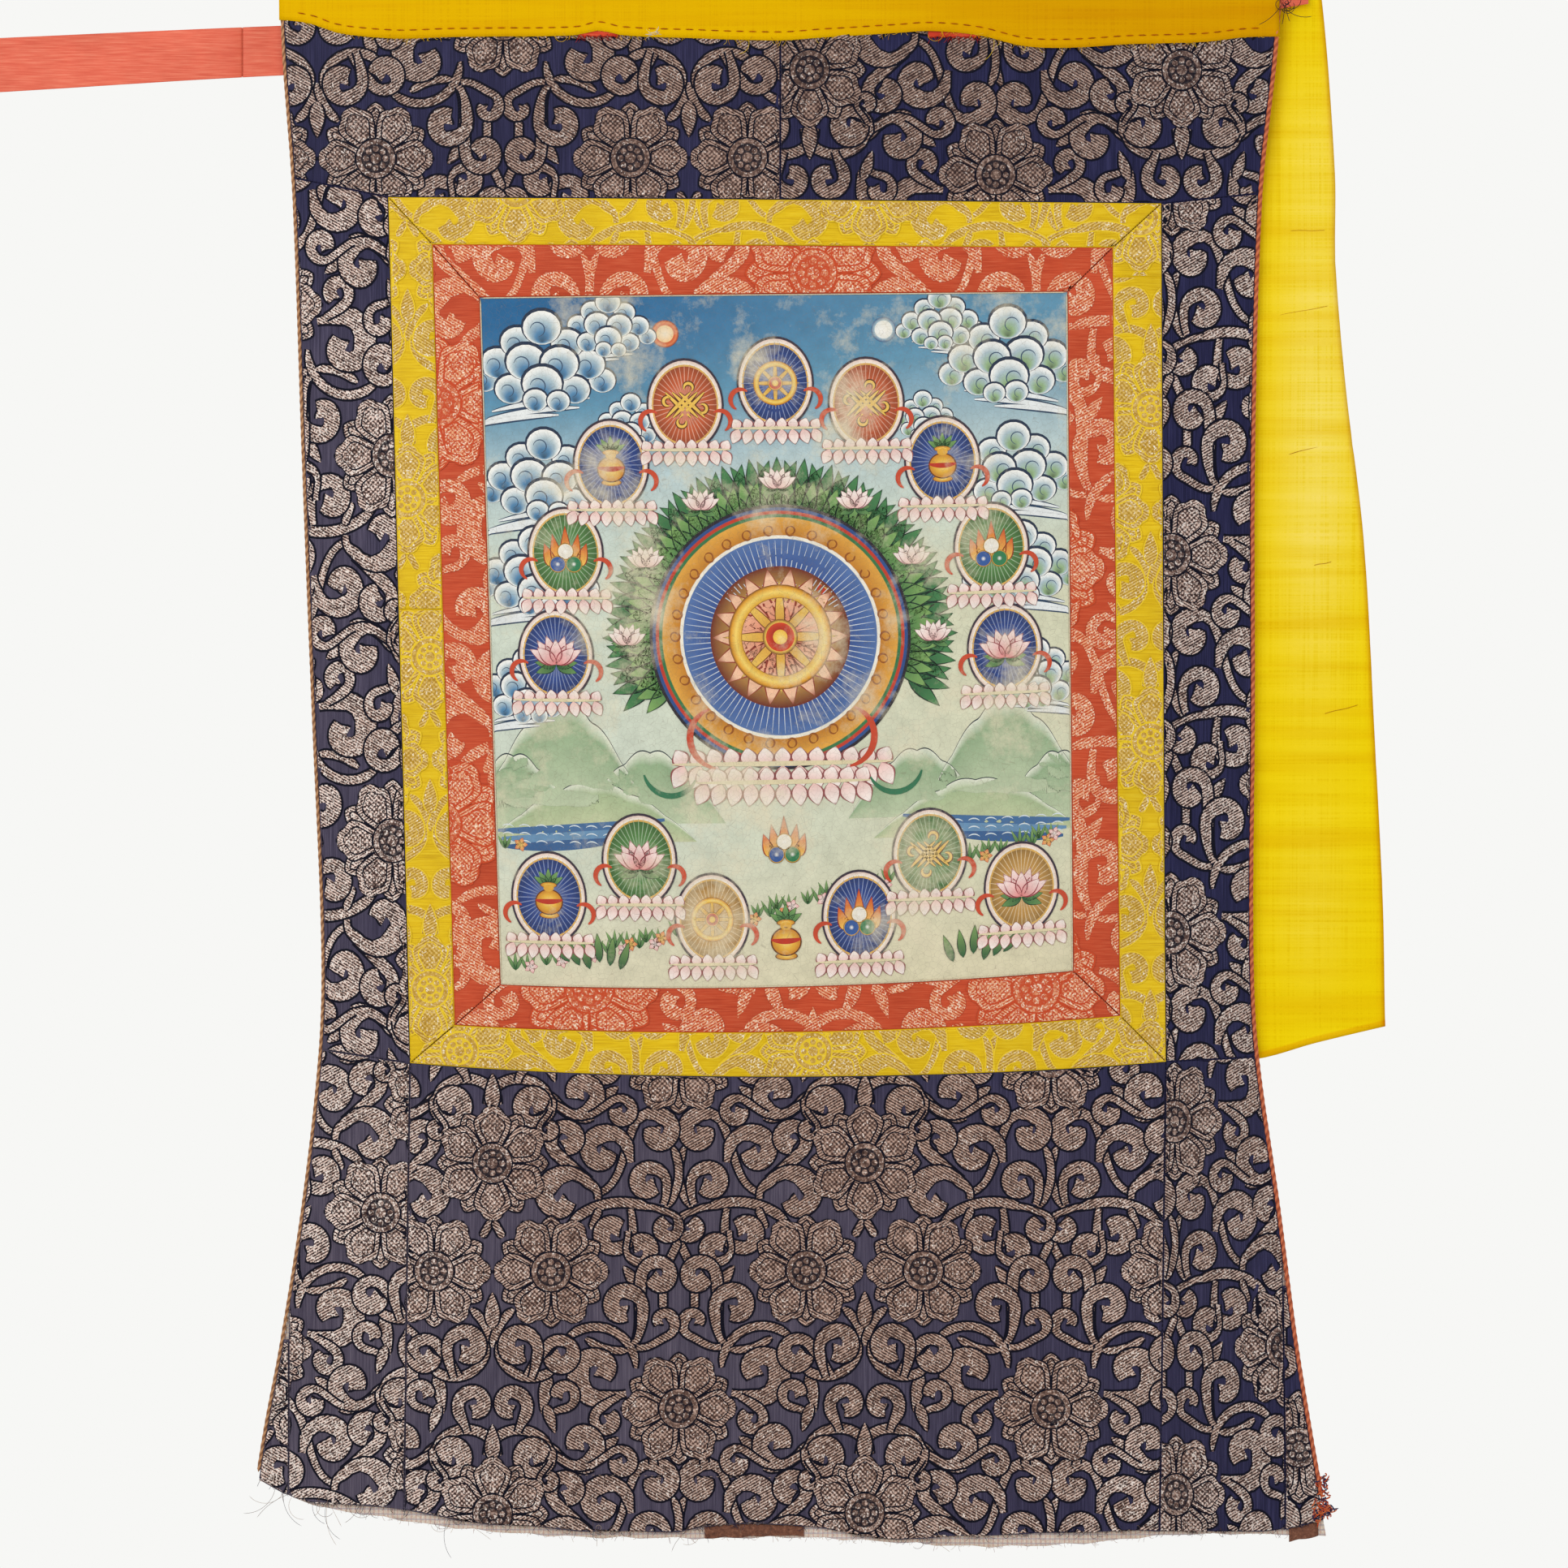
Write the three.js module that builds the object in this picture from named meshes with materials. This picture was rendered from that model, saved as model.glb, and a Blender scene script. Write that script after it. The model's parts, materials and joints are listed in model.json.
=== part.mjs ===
// A hung thangka: a painted canvas in two mitred silk bands and a brocade mount, with its silk veil
// thrown back over the hanging edge, a red ribbon behind the top and a torn hem at the foot.
// Millimetres, +Z up. The origin is the middle of the hanging edge, and the painted face looks along -Y.
// "across" runs right from the middle as the painting is seen, and "drop" runs down from the hanging edge.

import * as THREE from "three";

// Driving dimensions
const SEAM_GAP = 0.44; // between two cloths sewn edge to edge
const MOUNT_TOP = 5; // drop of the brocade's and the lining's top edge, under the veil's fold
const PIPING_DIAMETER = 3.8;
const PIPING_SETBACK = 0.6; // the piping's middle, behind the middle of the brocade

// How far each cloth's front and back face lie behind the hung surface; minus is towards the viewer
const LAYERS = {
  brocade: { front: -0.8, back: 0.8 },
  yellowBand: { front: -1.2, back: 0.8 },
  redBand: { front: -1.0, back: 0.8 },
  canvas: { front: -0.4, back: 0.8 },
  facing: { front: -0.1, back: 1.1 },
  stub: { front: -2.1, back: -1.1 },
  lining: { front: 1.65, back: 2.65 },
  ribbon: { front: 3.4, back: 4.4 },
};

// Corners of the three nested frames. Their lower edges sag between the corners.
const YELLOW_FRAME = frame([-347, 232], [339, 238], [-328, 1001], [344, 1000], 12);
const RED_FRAME = frame([-308, 274], [296, 277], [-288, 967], [303, 959], 10);
const CANVAS_FRAME = frame([-266, 321], [256, 316], [-247, 931], [261, 919], 8);

// Outer edges of the mount: held wide at the top, drawn in at the waist, flared at the foot
const SIDE_EDGES = [
  { drop: 0, left: -445, right: 449 },
  { drop: 100, left: -442.5, right: 443 },
  { drop: 230, left: -433.5, right: 429.5 },
  { drop: 460, left: -426, right: 424 },
  { drop: 700, left: -418, right: 425.5 },
  { drop: 900, left: -410.5, right: 425 },
  { drop: 990, left: -412.5, right: 429 },
  { drop: 1130, left: -427.5, right: 447.5 },
  { drop: 1250, left: -446, right: 462 },
  { drop: 1330, left: -461, right: 474 },
  { drop: 1430, left: -476, right: 491 },
];

// Torn lower edges of the brocade and of the lining that shows below it
const HEMS = [
  { across: -480, brocade: 1364, lining: 1366 },
  { across: -420, brocade: 1392.5, lining: 1394 },
  { across: -350, brocade: 1395.5, lining: 1405.5 },
  { across: -280, brocade: 1407, lining: 1414.5 },
  { across: -180, brocade: 1415, lining: 1421.5 },
  { across: -100, brocade: 1417.5, lining: 1423 },
  { across: -60, brocade: 1412, lining: 1423.5 },
  { across: 20, brocade: 1412, lining: 1423 },
  { across: 90, brocade: 1423.5, lining: 1426.5 },
  { across: 170, brocade: 1421, lining: 1430.5 },
  { across: 260, brocade: 1417.5, lining: 1428 },
  { across: 346, brocade: 1416, lining: 1419.8 },
  { across: 430, brocade: 1416, lining: 1419 },
  { across: 490, brocade: 1405, lining: 1420.5 },
];

// Seams of the brocade mount
const TOP_SEAM = 1; // across, where the two top panels meet
const STRIP_SEAMS = { topLeft: 215, topRight: 229, bottomLeft: 990, bottomRight: 997 }; // drops at the edges
const LOWER_SEAMS = { leftFoot: -333, rightFoot: 337 }; // across, at the hem
const GUSSET_SEAMS = { left: -437, right: 448.5, leftApex: 1236, rightApex: 1188 };
const GUSSET_TIP = 12; // length left off each gusset's point
const YELLOW_JOINS = { left: 0.476, right: 0.085 }; // share of the side band's length above its join
const FACINGS = [
  { name: "hem_facing_centre", from: -66, to: 22, rise: 1.8, depth: 10 },
  { name: "hem_facing_corner", from: 452, to: 478, rise: 1.2, depth: 11 },
];

// How the cloth hangs: the sides turn back at the waist, and soft swells and hollows cross the face
const CURL = { depth: 32, start: 180, reach: 240, limit: 425, waistDrop: 900, waistReach: 380 };
const SWELLS = [
  { across: -250, drop: 1200, reachAcross: 130, reachDown: 190, depth: -7 },
  { across: 60, drop: 1260, reachAcross: 150, reachDown: 180, depth: 6 },
  { across: 310, drop: 1220, reachAcross: 110, reachDown: 220, depth: -6 },
  { across: -90, drop: 640, reachAcross: 200, reachDown: 220, depth: -5 },
  { across: 230, drop: 450, reachAcross: 150, reachDown: 160, depth: 4 },
  { across: -330, drop: 350, reachAcross: 120, reachDown: 150, depth: 4 },
  { across: 150, drop: 170, reachAcross: 180, reachDown: 100, depth: -3 },
  { across: -440, drop: 1350, reachAcross: 90, reachDown: 90, depth: 9 },
  { across: 480, drop: 1370, reachAcross: 90, reachDown: 90, depth: -8 },
];

// The veil, in one piece: its raw front edge, the fold over the hanging edge and the fall behind
const VEIL = { thickness: 1, width: 887, foldDrop: 7, frontDepth: -3.5, backDepth: 8.5, settle: 7 };
const VEIL_FOLD_START = 500; // drop at which the folds behind reach their full depth
const VEIL_LEAN_START = 200; // drop at which the veil lies back along the turned sides of the mount
const VEIL_FRONT = [
  { across: -450, drop: 75 },
  { across: -420, drop: 78 },
  { across: -360, drop: 90 },
  { across: -220, drop: 91 },
  { across: -160, drop: 86 },
  { across: -70, drop: 92 },
  { across: 20, drop: 93 },
  { across: 140, drop: 87 },
  { across: 240, drop: 101 },
  { across: 340, drop: 97 },
  { across: 450, drop: 90 },
];
const VEIL_BULGES = [
  { across: -160, reach: 60, lift: 1.6 },
  { across: 155, reach: 60, lift: 1.6 },
  { across: 300, reach: 90, lift: 3 },
];
const VEIL_EDGES = [
  { drop: 0, right: 472 },
  { drop: 60, right: 483 },
  { drop: 210, right: 494 },
  { drop: 290, right: 494.5 },
  { drop: 400, right: 504 },
  { drop: 535, right: 521 },
  { drop: 700, right: 532 },
  { drop: 860, right: 541 },
  { drop: 970, right: 543 },
  { drop: 1030, right: 545 },
];
const VEIL_HEM = [
  { across: -420, drop: 996 },
  { across: -250, drop: 1012 },
  { across: -60, drop: 1004 },
  { across: 150, drop: 1018 },
  { across: 330, drop: 1010 },
  { across: 430, drop: 999 },
  { across: 480, drop: 985 },
  { across: 552, drop: 968 },
];
const VEIL_FOLDS = [
  { across: -300, reach: 70, depth: 7 },
  { across: -150, reach: 80, depth: -5 },
  { across: 30, reach: 75, depth: 8 },
  { across: 210, reach: 80, depth: -4 },
  { across: 360, reach: 60, depth: 5 },
  { across: 490, reach: 40, depth: -4 },
];

// The ribbon behind the top, sewn from two lengths, and two short ends of streamers under the veil
const RIBBON = { leftEnd: -735, join: -477, rightEnd: 470 };
const RIBBON_COURSE = [
  { across: -760, drop: 118, width: 48 },
  { across: -691, drop: 114.5, width: 48 },
  { across: -441, drop: 101.5, width: 44 },
  { across: 0, drop: 85, width: 43 },
  { across: 300, drop: 66, width: 43 },
  { across: 480, drop: 37, width: 43 },
];
const STUBS = [
  { name: "streamer_end_left", from: -178, to: -142, top: 60, bottom: 91 },
  { name: "streamer_end_right", from: 132, to: 178, top: 60, bottom: 92 },
];

const MATERIALS = {
  brocade: new THREE.MeshStandardMaterial({ color: 0x3a3448, roughness: 0.6, metalness: 0.1 }),
  yellowBand: new THREE.MeshStandardMaterial({ color: 0xd2ac1c, roughness: 0.55, metalness: 0.1 }),
  redBand: new THREE.MeshStandardMaterial({ color: 0xc2512f, roughness: 0.55, metalness: 0.1 }),
  canvas: new THREE.MeshStandardMaterial({ color: 0xb9c4b4, roughness: 0.8, metalness: 0 }),
  lining: new THREE.MeshStandardMaterial({ color: 0xc9b5a0, roughness: 0.9, metalness: 0 }),
  facing: new THREE.MeshStandardMaterial({ color: 0x7a4a34, roughness: 0.9, metalness: 0 }),
  piping: new THREE.MeshStandardMaterial({ color: 0xb9632f, roughness: 0.8, metalness: 0 }),
  veil: new THREE.MeshStandardMaterial({ color: 0xe8bc04, roughness: 0.5, metalness: 0 }),
  ribbon: new THREE.MeshStandardMaterial({ color: 0xe06d52, roughness: 0.5, metalness: 0 }),
};

const { lerp, smoothstep } = THREE.MathUtils;
const bell = (offset, reach) => Math.exp(-0.5 * (offset / reach) ** 2);
const lerpPoint = (a, b, share) => ({
  across: lerp(a.across, b.across, share),
  drop: lerp(a.drop, b.drop, share),
});

// A frame's four edges as functions of the share of their length, left to right or top to bottom.
function frame(topLeft, topRight, bottomLeft, bottomRight, sag) {
  const corner = ([across, drop]) => ({ across, drop });
  const [tl, tr, bl, br] = [topLeft, topRight, bottomLeft, bottomRight].map(corner);
  const bottom = (share) => {
    const point = lerpPoint(bl, br, share);
    return { across: point.across, drop: point.drop + sag * 4 * share * (1 - share) };
  };
  return {
    corners: { tl, tr, bl, br },
    top: (share) => lerpPoint(tl, tr, share),
    bottom,
    left: (share) => lerpPoint(tl, bl, share),
    right: (share) => lerpPoint(tr, br, share),
  };
}

// A smooth curve through one column of a table against another, by cubic Hermite steps.
function curve(rows, from, to) {
  const slope = (i) => {
    const before = rows[Math.max(i - 1, 0)];
    const after = rows[Math.min(i + 1, rows.length - 1)];
    return (after[to] - before[to]) / (after[from] - before[from]);
  };
  return (value) => {
    let i = 0;
    while (i < rows.length - 2 && value > rows[i + 1][from]) i++;
    const [a, b] = [rows[i], rows[i + 1]];
    const span = b[from] - a[from];
    const t = (value - a[from]) / span;
    if (t < 0) return a[to] + slope(i) * span * t;
    if (t > 1) return b[to] + slope(i + 1) * span * (t - 1);
    const rise = t * t * (3 - 2 * t);
    const leave = t * (1 - t) ** 2 * span * slope(i);
    const arrive = t * t * (t - 1) * span * slope(i + 1);
    return lerp(a[to], b[to], rise) + leave + arrive;
  };
}

// The straight line through two points, as drop against across or across against drop.
const dropOnLine = (a, b) => (across) => lerp(a.drop, b.drop, (across - a.across) / (b.across - a.across));
const acrossOnLine = (a, b) => (drop) => lerp(a.across, b.across, (drop - a.drop) / (b.drop - a.drop));

// Depth of the hung surface behind the plane of the hanging edge.
function hungDepth(across, drop) {
  const turned = Math.max(0, Math.min(Math.abs(across), CURL.limit) - CURL.start) / CURL.reach;
  const curl = CURL.depth * turned ** 2 * bell(drop - CURL.waistDrop, CURL.waistReach / Math.SQRT2);
  const swell = (sum, { across: x, drop: z, reachAcross, reachDown, depth }) =>
    sum + depth * bell(across - x, reachAcross) * bell(drop - z, reachDown);
  return SWELLS.reduce(swell, curl);
}

// Evenly spaced fractions from start to end, and the same through a fixed fraction.
const steps = (count, start = 0, end = 1) =>
  Array.from({ length: count + 1 }, (_, i) => lerp(start, end, i / count));
const stepsThrough = (fixed, before, after) => [
  ...steps(before, 0, fixed).slice(0, -1),
  ...steps(after, fixed, 1),
];

// A closed sheet on a grid of fractions, s to the right and t downwards; place(s, t, side) gives a
// corner of the viewer's face where side is 0 and of the far face where side is 1.
function sheetGeometry(columns, rows, place) {
  const positions = [0, 1].flatMap((side) => rows.flatMap((t) => columns.flatMap((s) => place(s, t, side))));
  const at = (column, row, side) => (side * rows.length + row) * columns.length + column;
  const triangles = [];
  const quad = (a, b, c, d) => triangles.push(a, b, c, a, c, d);
  const lastColumn = columns.length - 1;
  const lastRow = rows.length - 1;
  for (let i = 0; i < lastColumn; i++) {
    for (let j = 0; j < lastRow; j++) {
      quad(at(i, j, 0), at(i, j + 1, 0), at(i + 1, j + 1, 0), at(i + 1, j, 0));
      quad(at(i, j, 1), at(i + 1, j, 1), at(i + 1, j + 1, 1), at(i, j + 1, 1));
    }
    quad(at(i, 0, 0), at(i + 1, 0, 0), at(i + 1, 0, 1), at(i, 0, 1));
    quad(at(i + 1, lastRow, 0), at(i, lastRow, 0), at(i, lastRow, 1), at(i + 1, lastRow, 1));
  }
  for (let j = 0; j < lastRow; j++) {
    quad(at(0, j + 1, 0), at(0, j, 0), at(0, j, 1), at(0, j + 1, 1));
    quad(at(lastColumn, j, 0), at(lastColumn, j + 1, 0), at(lastColumn, j + 1, 1), at(lastColumn, j, 1));
  }
  const geometry = new THREE.BufferGeometry();
  geometry.setAttribute("position", new THREE.Float32BufferAttribute(positions, 3));
  geometry.setIndex(triangles);
  geometry.computeVertexNormals();
  return geometry;
}

const thangka = new THREE.Group();

function addMesh(name, geometry, material) {
  const mesh = new THREE.Mesh(geometry, material);
  mesh.name = name;
  thangka.add(mesh);
}

// A cloth that lies on the hung surface: outline(s, t) gives its points, and layer its two faces.
function addCloth(name, layer, material, columns, rows, outline) {
  const place = (s, t, side) => {
    const { across, drop } = outline(s, t);
    const offset = side === 0 ? layer.front : layer.back;
    return [across, hungDepth(across, drop) + offset, -drop];
  };
  addMesh(name, sheetGeometry(columns, rows, place), material);
}

// The outline of a cloth between two side edges and an upper and a lower edge, found in a few passes.
function between({ left, right, top, bottom }) {
  const passes = 8;
  return (s, t) => {
    let drop = lerp(top(0), bottom(0), t);
    let across = 0;
    for (let pass = 0; pass < passes; pass++) {
      across = lerp(left(drop), right(drop), s);
      drop = lerp(top(across), bottom(across), t);
    }
    return { across, drop };
  };
}

const halfGap = SEAM_GAP / 2;
const edgeInset = PIPING_DIAMETER + SEAM_GAP;
const leftEdge = curve(SIDE_EDGES, "drop", "left");
const rightEdge = curve(SIDE_EDGES, "drop", "right");
const brocadeHem = curve(HEMS, "across", "brocade");
const liningHem = curve(HEMS, "across", "lining");
const clothLeft = (drop) => leftEdge(drop) + edgeInset;
const clothRight = (drop) => rightEdge(drop) - edgeInset;
const mountTop = () => MOUNT_TOP;

// Painted canvas and its two mitred frames

function addCanvas() {
  const { corners, top, bottom } = CANVAS_FRAME;
  const shareAcross = halfGap / (corners.tr.across - corners.tl.across);
  const shareDown = halfGap / (corners.bl.drop - corners.tl.drop);
  const outline = (s, t) => lerpPoint(top(s), bottom(s), t);
  const columns = steps(14, shareAcross, 1 - shareAcross);
  const rows = steps(16, shareDown, 1 - shareDown);
  addCloth("painted_canvas", LAYERS.canvas, MATERIALS.canvas, columns, rows, outline);
}

// One mitred frame of silk between an outer and an inner outline; joins splits its sides in two.
function addBands(colour, outer, inner, layer, material, joins) {
  const width = inner.corners.tl.across - outer.corners.tl.across;
  const length = outer.corners.bl.drop - outer.corners.tl.drop;
  const side = halfGap / width;
  const end = halfGap / length;
  const bandSteps = 18;
  const acrossBand = steps(1, side, 1 - side);
  const stretch = (from, to) => steps(Math.ceil(bandSteps * (to - from)), from + end, to - end);
  const alongBand = stretch(0, 1);
  const lengths = (join) => (join ? [stretch(0, join), stretch(join, 1)] : [alongBand]);
  const add = (name, columns, rows, outline) =>
    addCloth(`${colour}_band_${name}`, layer, material, columns, rows, outline);

  add("top", alongBand, acrossBand, (s, t) => lerpPoint(outer.top(s), inner.top(s), t));
  add("bottom", alongBand, acrossBand, (s, t) => lerpPoint(inner.bottom(s), outer.bottom(s), t));
  const sides = {
    left: (s, t) => lerpPoint(outer.left(t), inner.left(t), s),
    right: (s, t) => lerpPoint(inner.right(t), outer.right(t), s),
  };
  for (const [name, outline] of Object.entries(sides)) {
    const pieces = lengths(joins?.[name]);
    pieces.forEach((rows, i) => {
      const suffix = pieces.length > 1 ? ["_upper", "_lower"][i] : "";
      add(name + suffix, acrossBand, rows, outline);
    });
  }
}

// Brocade mount: two top panels, two side strips, three lower panels and two gussets at the foot

function addBrocade() {
  const { tl, tr, bl, br } = YELLOW_FRAME.corners;
  const edgePoint = (edge, drop) => ({ across: edge(drop), drop });
  const topLeftSeam = dropOnLine(edgePoint(clothLeft, STRIP_SEAMS.topLeft), tl);
  const topRightSeam = dropOnLine(tr, edgePoint(clothRight, STRIP_SEAMS.topRight));
  const bottomLeftSeam = dropOnLine(edgePoint(clothLeft, STRIP_SEAMS.bottomLeft), bl);
  const bottomRightSeam = dropOnLine(br, edgePoint(clothRight, STRIP_SEAMS.bottomRight));
  const yellowTop = dropOnLine(tl, tr);
  const yellowLeft = acrossOnLine(tl, bl);
  const yellowRight = acrossOnLine(tr, br);
  const yellowBottom = (across) => YELLOW_FRAME.bottom((across - bl.across) / (br.across - bl.across)).drop;
  const leftFoot = { across: LOWER_SEAMS.leftFoot, drop: brocadeHem(LOWER_SEAMS.leftFoot) };
  const rightFoot = { across: LOWER_SEAMS.rightFoot, drop: brocadeHem(LOWER_SEAMS.rightFoot) };
  const lowerLeftSeam = acrossOnLine(bl, leftFoot);
  const lowerRightSeam = acrossOnLine(br, rightFoot);
  const add = (name, columns, rows, edges) =>
    addCloth(`brocade_${name}`, LAYERS.brocade, MATERIALS.brocade, columns, rows, between(edges));

  // A grid line runs through the corner of the yellow frame, where each top panel's lower seam bends.
  const shareOf = (value, low, high) => (value - low) / (high - low);
  const topLeft = {
    left: clothLeft,
    right: () => TOP_SEAM - halfGap,
    top: mountTop,
    bottom: (across) => (across < tl.across ? topLeftSeam(across) : yellowTop(across)) - halfGap,
  };
  add("top_left", stepsThrough(shareOf(tl.across, clothLeft(tl.drop), TOP_SEAM), 3, 9), steps(5), topLeft);
  const topRight = {
    left: () => TOP_SEAM + halfGap,
    right: clothRight,
    top: mountTop,
    bottom: (across) => (across > tr.across ? topRightSeam(across) : yellowTop(across)) - halfGap,
  };
  add("top_right", stepsThrough(shareOf(tr.across, TOP_SEAM, clothRight(tr.drop)), 9, 3), steps(5), topRight);

  add("strip_left", steps(3), steps(20), {
    left: clothLeft,
    right: (drop) => yellowLeft(drop) - halfGap,
    top: (across) => topLeftSeam(across) + halfGap,
    bottom: (across) => bottomLeftSeam(across) - halfGap,
  });
  add("strip_right", steps(3), steps(20), {
    left: (drop) => yellowRight(drop) + halfGap,
    right: clothRight,
    top: (across) => topRightSeam(across) + halfGap,
    bottom: (across) => bottomRightSeam(across) - halfGap,
  });

  add("lower_centre", steps(24), steps(9), {
    left: (drop) => lowerLeftSeam(drop) + halfGap,
    right: (drop) => lowerRightSeam(drop) - halfGap,
    top: (across) => yellowBottom(across) + halfGap,
    bottom: brocadeHem,
  });

  // Beside a gusset the panel's edge leaves the piping and follows the gusset's upright seam.
  const apexShare = (apex, top) => shareOf(apex, top, brocadeHem(0));
  const leftRows = stepsThrough(apexShare(GUSSET_SEAMS.leftApex, STRIP_SEAMS.bottomLeft), 7, 5);
  add("lower_left", steps(3), leftRows, {
    left: (drop) => Math.max(clothLeft(drop), GUSSET_SEAMS.left + halfGap),
    right: (drop) => lowerLeftSeam(drop) - halfGap,
    top: (across) => bottomLeftSeam(across) + halfGap,
    bottom: brocadeHem,
  });
  const rightRows = stepsThrough(apexShare(GUSSET_SEAMS.rightApex, STRIP_SEAMS.bottomRight), 6, 6);
  add("lower_right", steps(3), rightRows, {
    left: (drop) => lowerRightSeam(drop) + halfGap,
    right: (drop) => Math.min(clothRight(drop), GUSSET_SEAMS.right - halfGap),
    top: (across) => bottomRightSeam(across) + halfGap,
    bottom: brocadeHem,
  });
  add("gusset_left", steps(1), steps(5), {
    left: clothLeft,
    right: () => GUSSET_SEAMS.left - halfGap,
    top: () => GUSSET_SEAMS.leftApex + GUSSET_TIP,
    bottom: brocadeHem,
  });
  add("gusset_right", steps(1), steps(6), {
    left: () => GUSSET_SEAMS.right + halfGap,
    right: clothRight,
    top: () => GUSSET_SEAMS.rightApex + GUSSET_TIP,
    bottom: brocadeHem,
  });
}

// Lining behind the whole mount, and scraps of brown hem facing below the torn brocade

function addLining() {
  const edges = { left: clothLeft, right: clothRight, top: mountTop, bottom: liningHem };
  addCloth("lining", LAYERS.lining, MATERIALS.lining, steps(26), steps(32), between(edges));
}

function addFacings() {
  for (const { name, from, to, rise, depth } of FACINGS) {
    const outline = between({
      left: () => from,
      right: () => to,
      top: (across) => brocadeHem(across) + rise,
      bottom: (across) => brocadeHem(across) + depth,
    });
    addCloth(name, LAYERS.facing, MATERIALS.facing, steps(4), steps(1), outline);
  }
}

// Corded piping sewn down both sides

function addPiping(name, edge, inward, endDrop) {
  const radius = PIPING_DIAMETER / 2;
  const sides = 6;
  const lengthSteps = 34;
  const points = steps(lengthSteps).map((t) => {
    const drop = lerp(MOUNT_TOP, endDrop, t);
    const across = edge(drop) + inward * radius;
    return new THREE.Vector3(across, hungDepth(across, drop) + PIPING_SETBACK, -drop);
  });
  const corner = (i) => {
    const angle = (2 * Math.PI * i) / sides;
    return new THREE.Vector2(radius * Math.cos(angle), radius * Math.sin(angle));
  };
  const section = new THREE.Shape(Array.from({ length: sides }, (_, i) => corner(i)));
  const extrudePath = new THREE.CatmullRomCurve3(points);
  const along = { steps: lengthSteps, extrudePath, bevelEnabled: false };
  addMesh(name, new THREE.ExtrudeGeometry(section, along), MATERIALS.piping);
}

// Veil: one sheet from its hem behind, up the back, over the fold and down to its raw front edge

function addVeil() {
  const frontEdge = curve(VEIL_FRONT, "across", "drop");
  const backRight = curve(VEIL_EDGES, "drop", "right");
  const hem = curve(VEIL_HEM, "across", "drop");
  const foldMiddle = (VEIL.frontDepth + VEIL.backDepth) / 2;
  const foldHalfDepth = (VEIL.backDepth - VEIL.frontDepth) / 2;
  const foldRise = VEIL.foldDrop - VEIL.thickness / 2;
  const frontSewnDepth = LAYERS.brocade.front - SEAM_GAP - VEIL.thickness / 2;
  const backEnd = 0.8; // share of the sheet's rows in the back fall
  const foldEnd = 0.9; // and in the fall and the fold together

  const fall = between({
    left: (drop) => backRight(drop) - VEIL.width,
    right: backRight,
    top: hem,
    bottom: () => VEIL.foldDrop,
  });
  const backPoint = (s, share) => {
    const { across, drop } = fall(s, share);
    const grown = smoothstep(drop, VEIL.foldDrop, VEIL_FOLD_START);
    const fold = (sum, { across: x, reach, depth }) => sum + depth * grown * bell(across - x, reach);
    const hung = hungDepth(across, drop) * smoothstep(drop, VEIL.foldDrop, VEIL_LEAN_START);
    const depth = VEIL.backDepth + hung + VEIL.settle * grown;
    return new THREE.Vector3(across, VEIL_FOLDS.reduce(fold, depth), -drop);
  };
  const frontPoint = (s, share) => {
    const across = VEIL.width * (s - 0.5);
    const drop = lerp(VEIL.foldDrop, frontEdge(across), share);
    const bulge = (sum, { across: x, reach, lift }) => sum + lift * bell(across - x, reach / 2);
    const lift = VEIL_BULGES.reduce(bulge, 0) * smoothstep(share, 0, 1);
    const depth = lerp(VEIL.frontDepth, frontSewnDepth, share) - lift;
    return new THREE.Vector3(across, depth + hungDepth(across, drop) * share, -drop);
  };
  const foldPoint = (s, share) => {
    const turn = Math.PI * share;
    const across = lerp(backPoint(s, 1).x, frontPoint(s, 0).x, smoothstep(share, 0, 1));
    const depth = foldMiddle + foldHalfDepth * Math.cos(turn);
    return new THREE.Vector3(across, depth, -VEIL.foldDrop + foldRise * Math.sin(turn));
  };
  const middle = (s, t) => {
    if (t < backEnd) return backPoint(s, t / backEnd);
    if (t < foldEnd) return foldPoint(s, (t - backEnd) / (foldEnd - backEnd));
    return frontPoint(s, (t - foldEnd) / (1 - foldEnd));
  };
  const place = (s, t, side) => {
    const reach = 1e-3;
    const alongS = middle(Math.min(s + reach, 1), t).sub(middle(Math.max(s - reach, 0), t));
    const alongT = middle(s, Math.min(t + reach, 1)).sub(middle(s, Math.max(t - reach, 0)));
    const outward = alongT.cross(alongS).normalize();
    const offset = (side === 0 ? 1 : -1) * (VEIL.thickness / 2);
    return middle(s, t).addScaledVector(outward, offset).toArray();
  };
  const fallRows = steps(20, 0, backEnd).slice(0, -1);
  const foldRows = steps(6, backEnd, foldEnd).slice(0, -1);
  const frontRows = steps(3, foldEnd, 1);
  const rows = [...fallRows, ...foldRows, ...frontRows];
  addMesh("veil", sheetGeometry(steps(28), rows, place), MATERIALS.veil);
}

// Ribbon and the ends of the streamers

function addRibbon() {
  const course = curve(RIBBON_COURSE, "across", "drop");
  const width = curve(RIBBON_COURSE, "across", "width");
  const lengths = [
    { name: "ribbon_tail", from: RIBBON.leftEnd, to: RIBBON.join - halfGap, count: 8 },
    { name: "ribbon_band", from: RIBBON.join + halfGap, to: RIBBON.rightEnd, count: 26 },
  ];
  for (const { name, from, to, count } of lengths) {
    const outline = (s, t) => {
      const across = lerp(from, to, s);
      return { across, drop: course(across) + (t - 0.5) * width(across) };
    };
    addCloth(name, LAYERS.ribbon, MATERIALS.ribbon, steps(count), steps(2), outline);
  }
}

function addStubs() {
  for (const { name, from, to, top, bottom } of STUBS) {
    const outline = (s, t) => ({ across: lerp(from, to, s), drop: lerp(top, bottom, t) });
    addCloth(name, LAYERS.stub, MATERIALS.ribbon, steps(2), steps(2), outline);
  }
}

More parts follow.
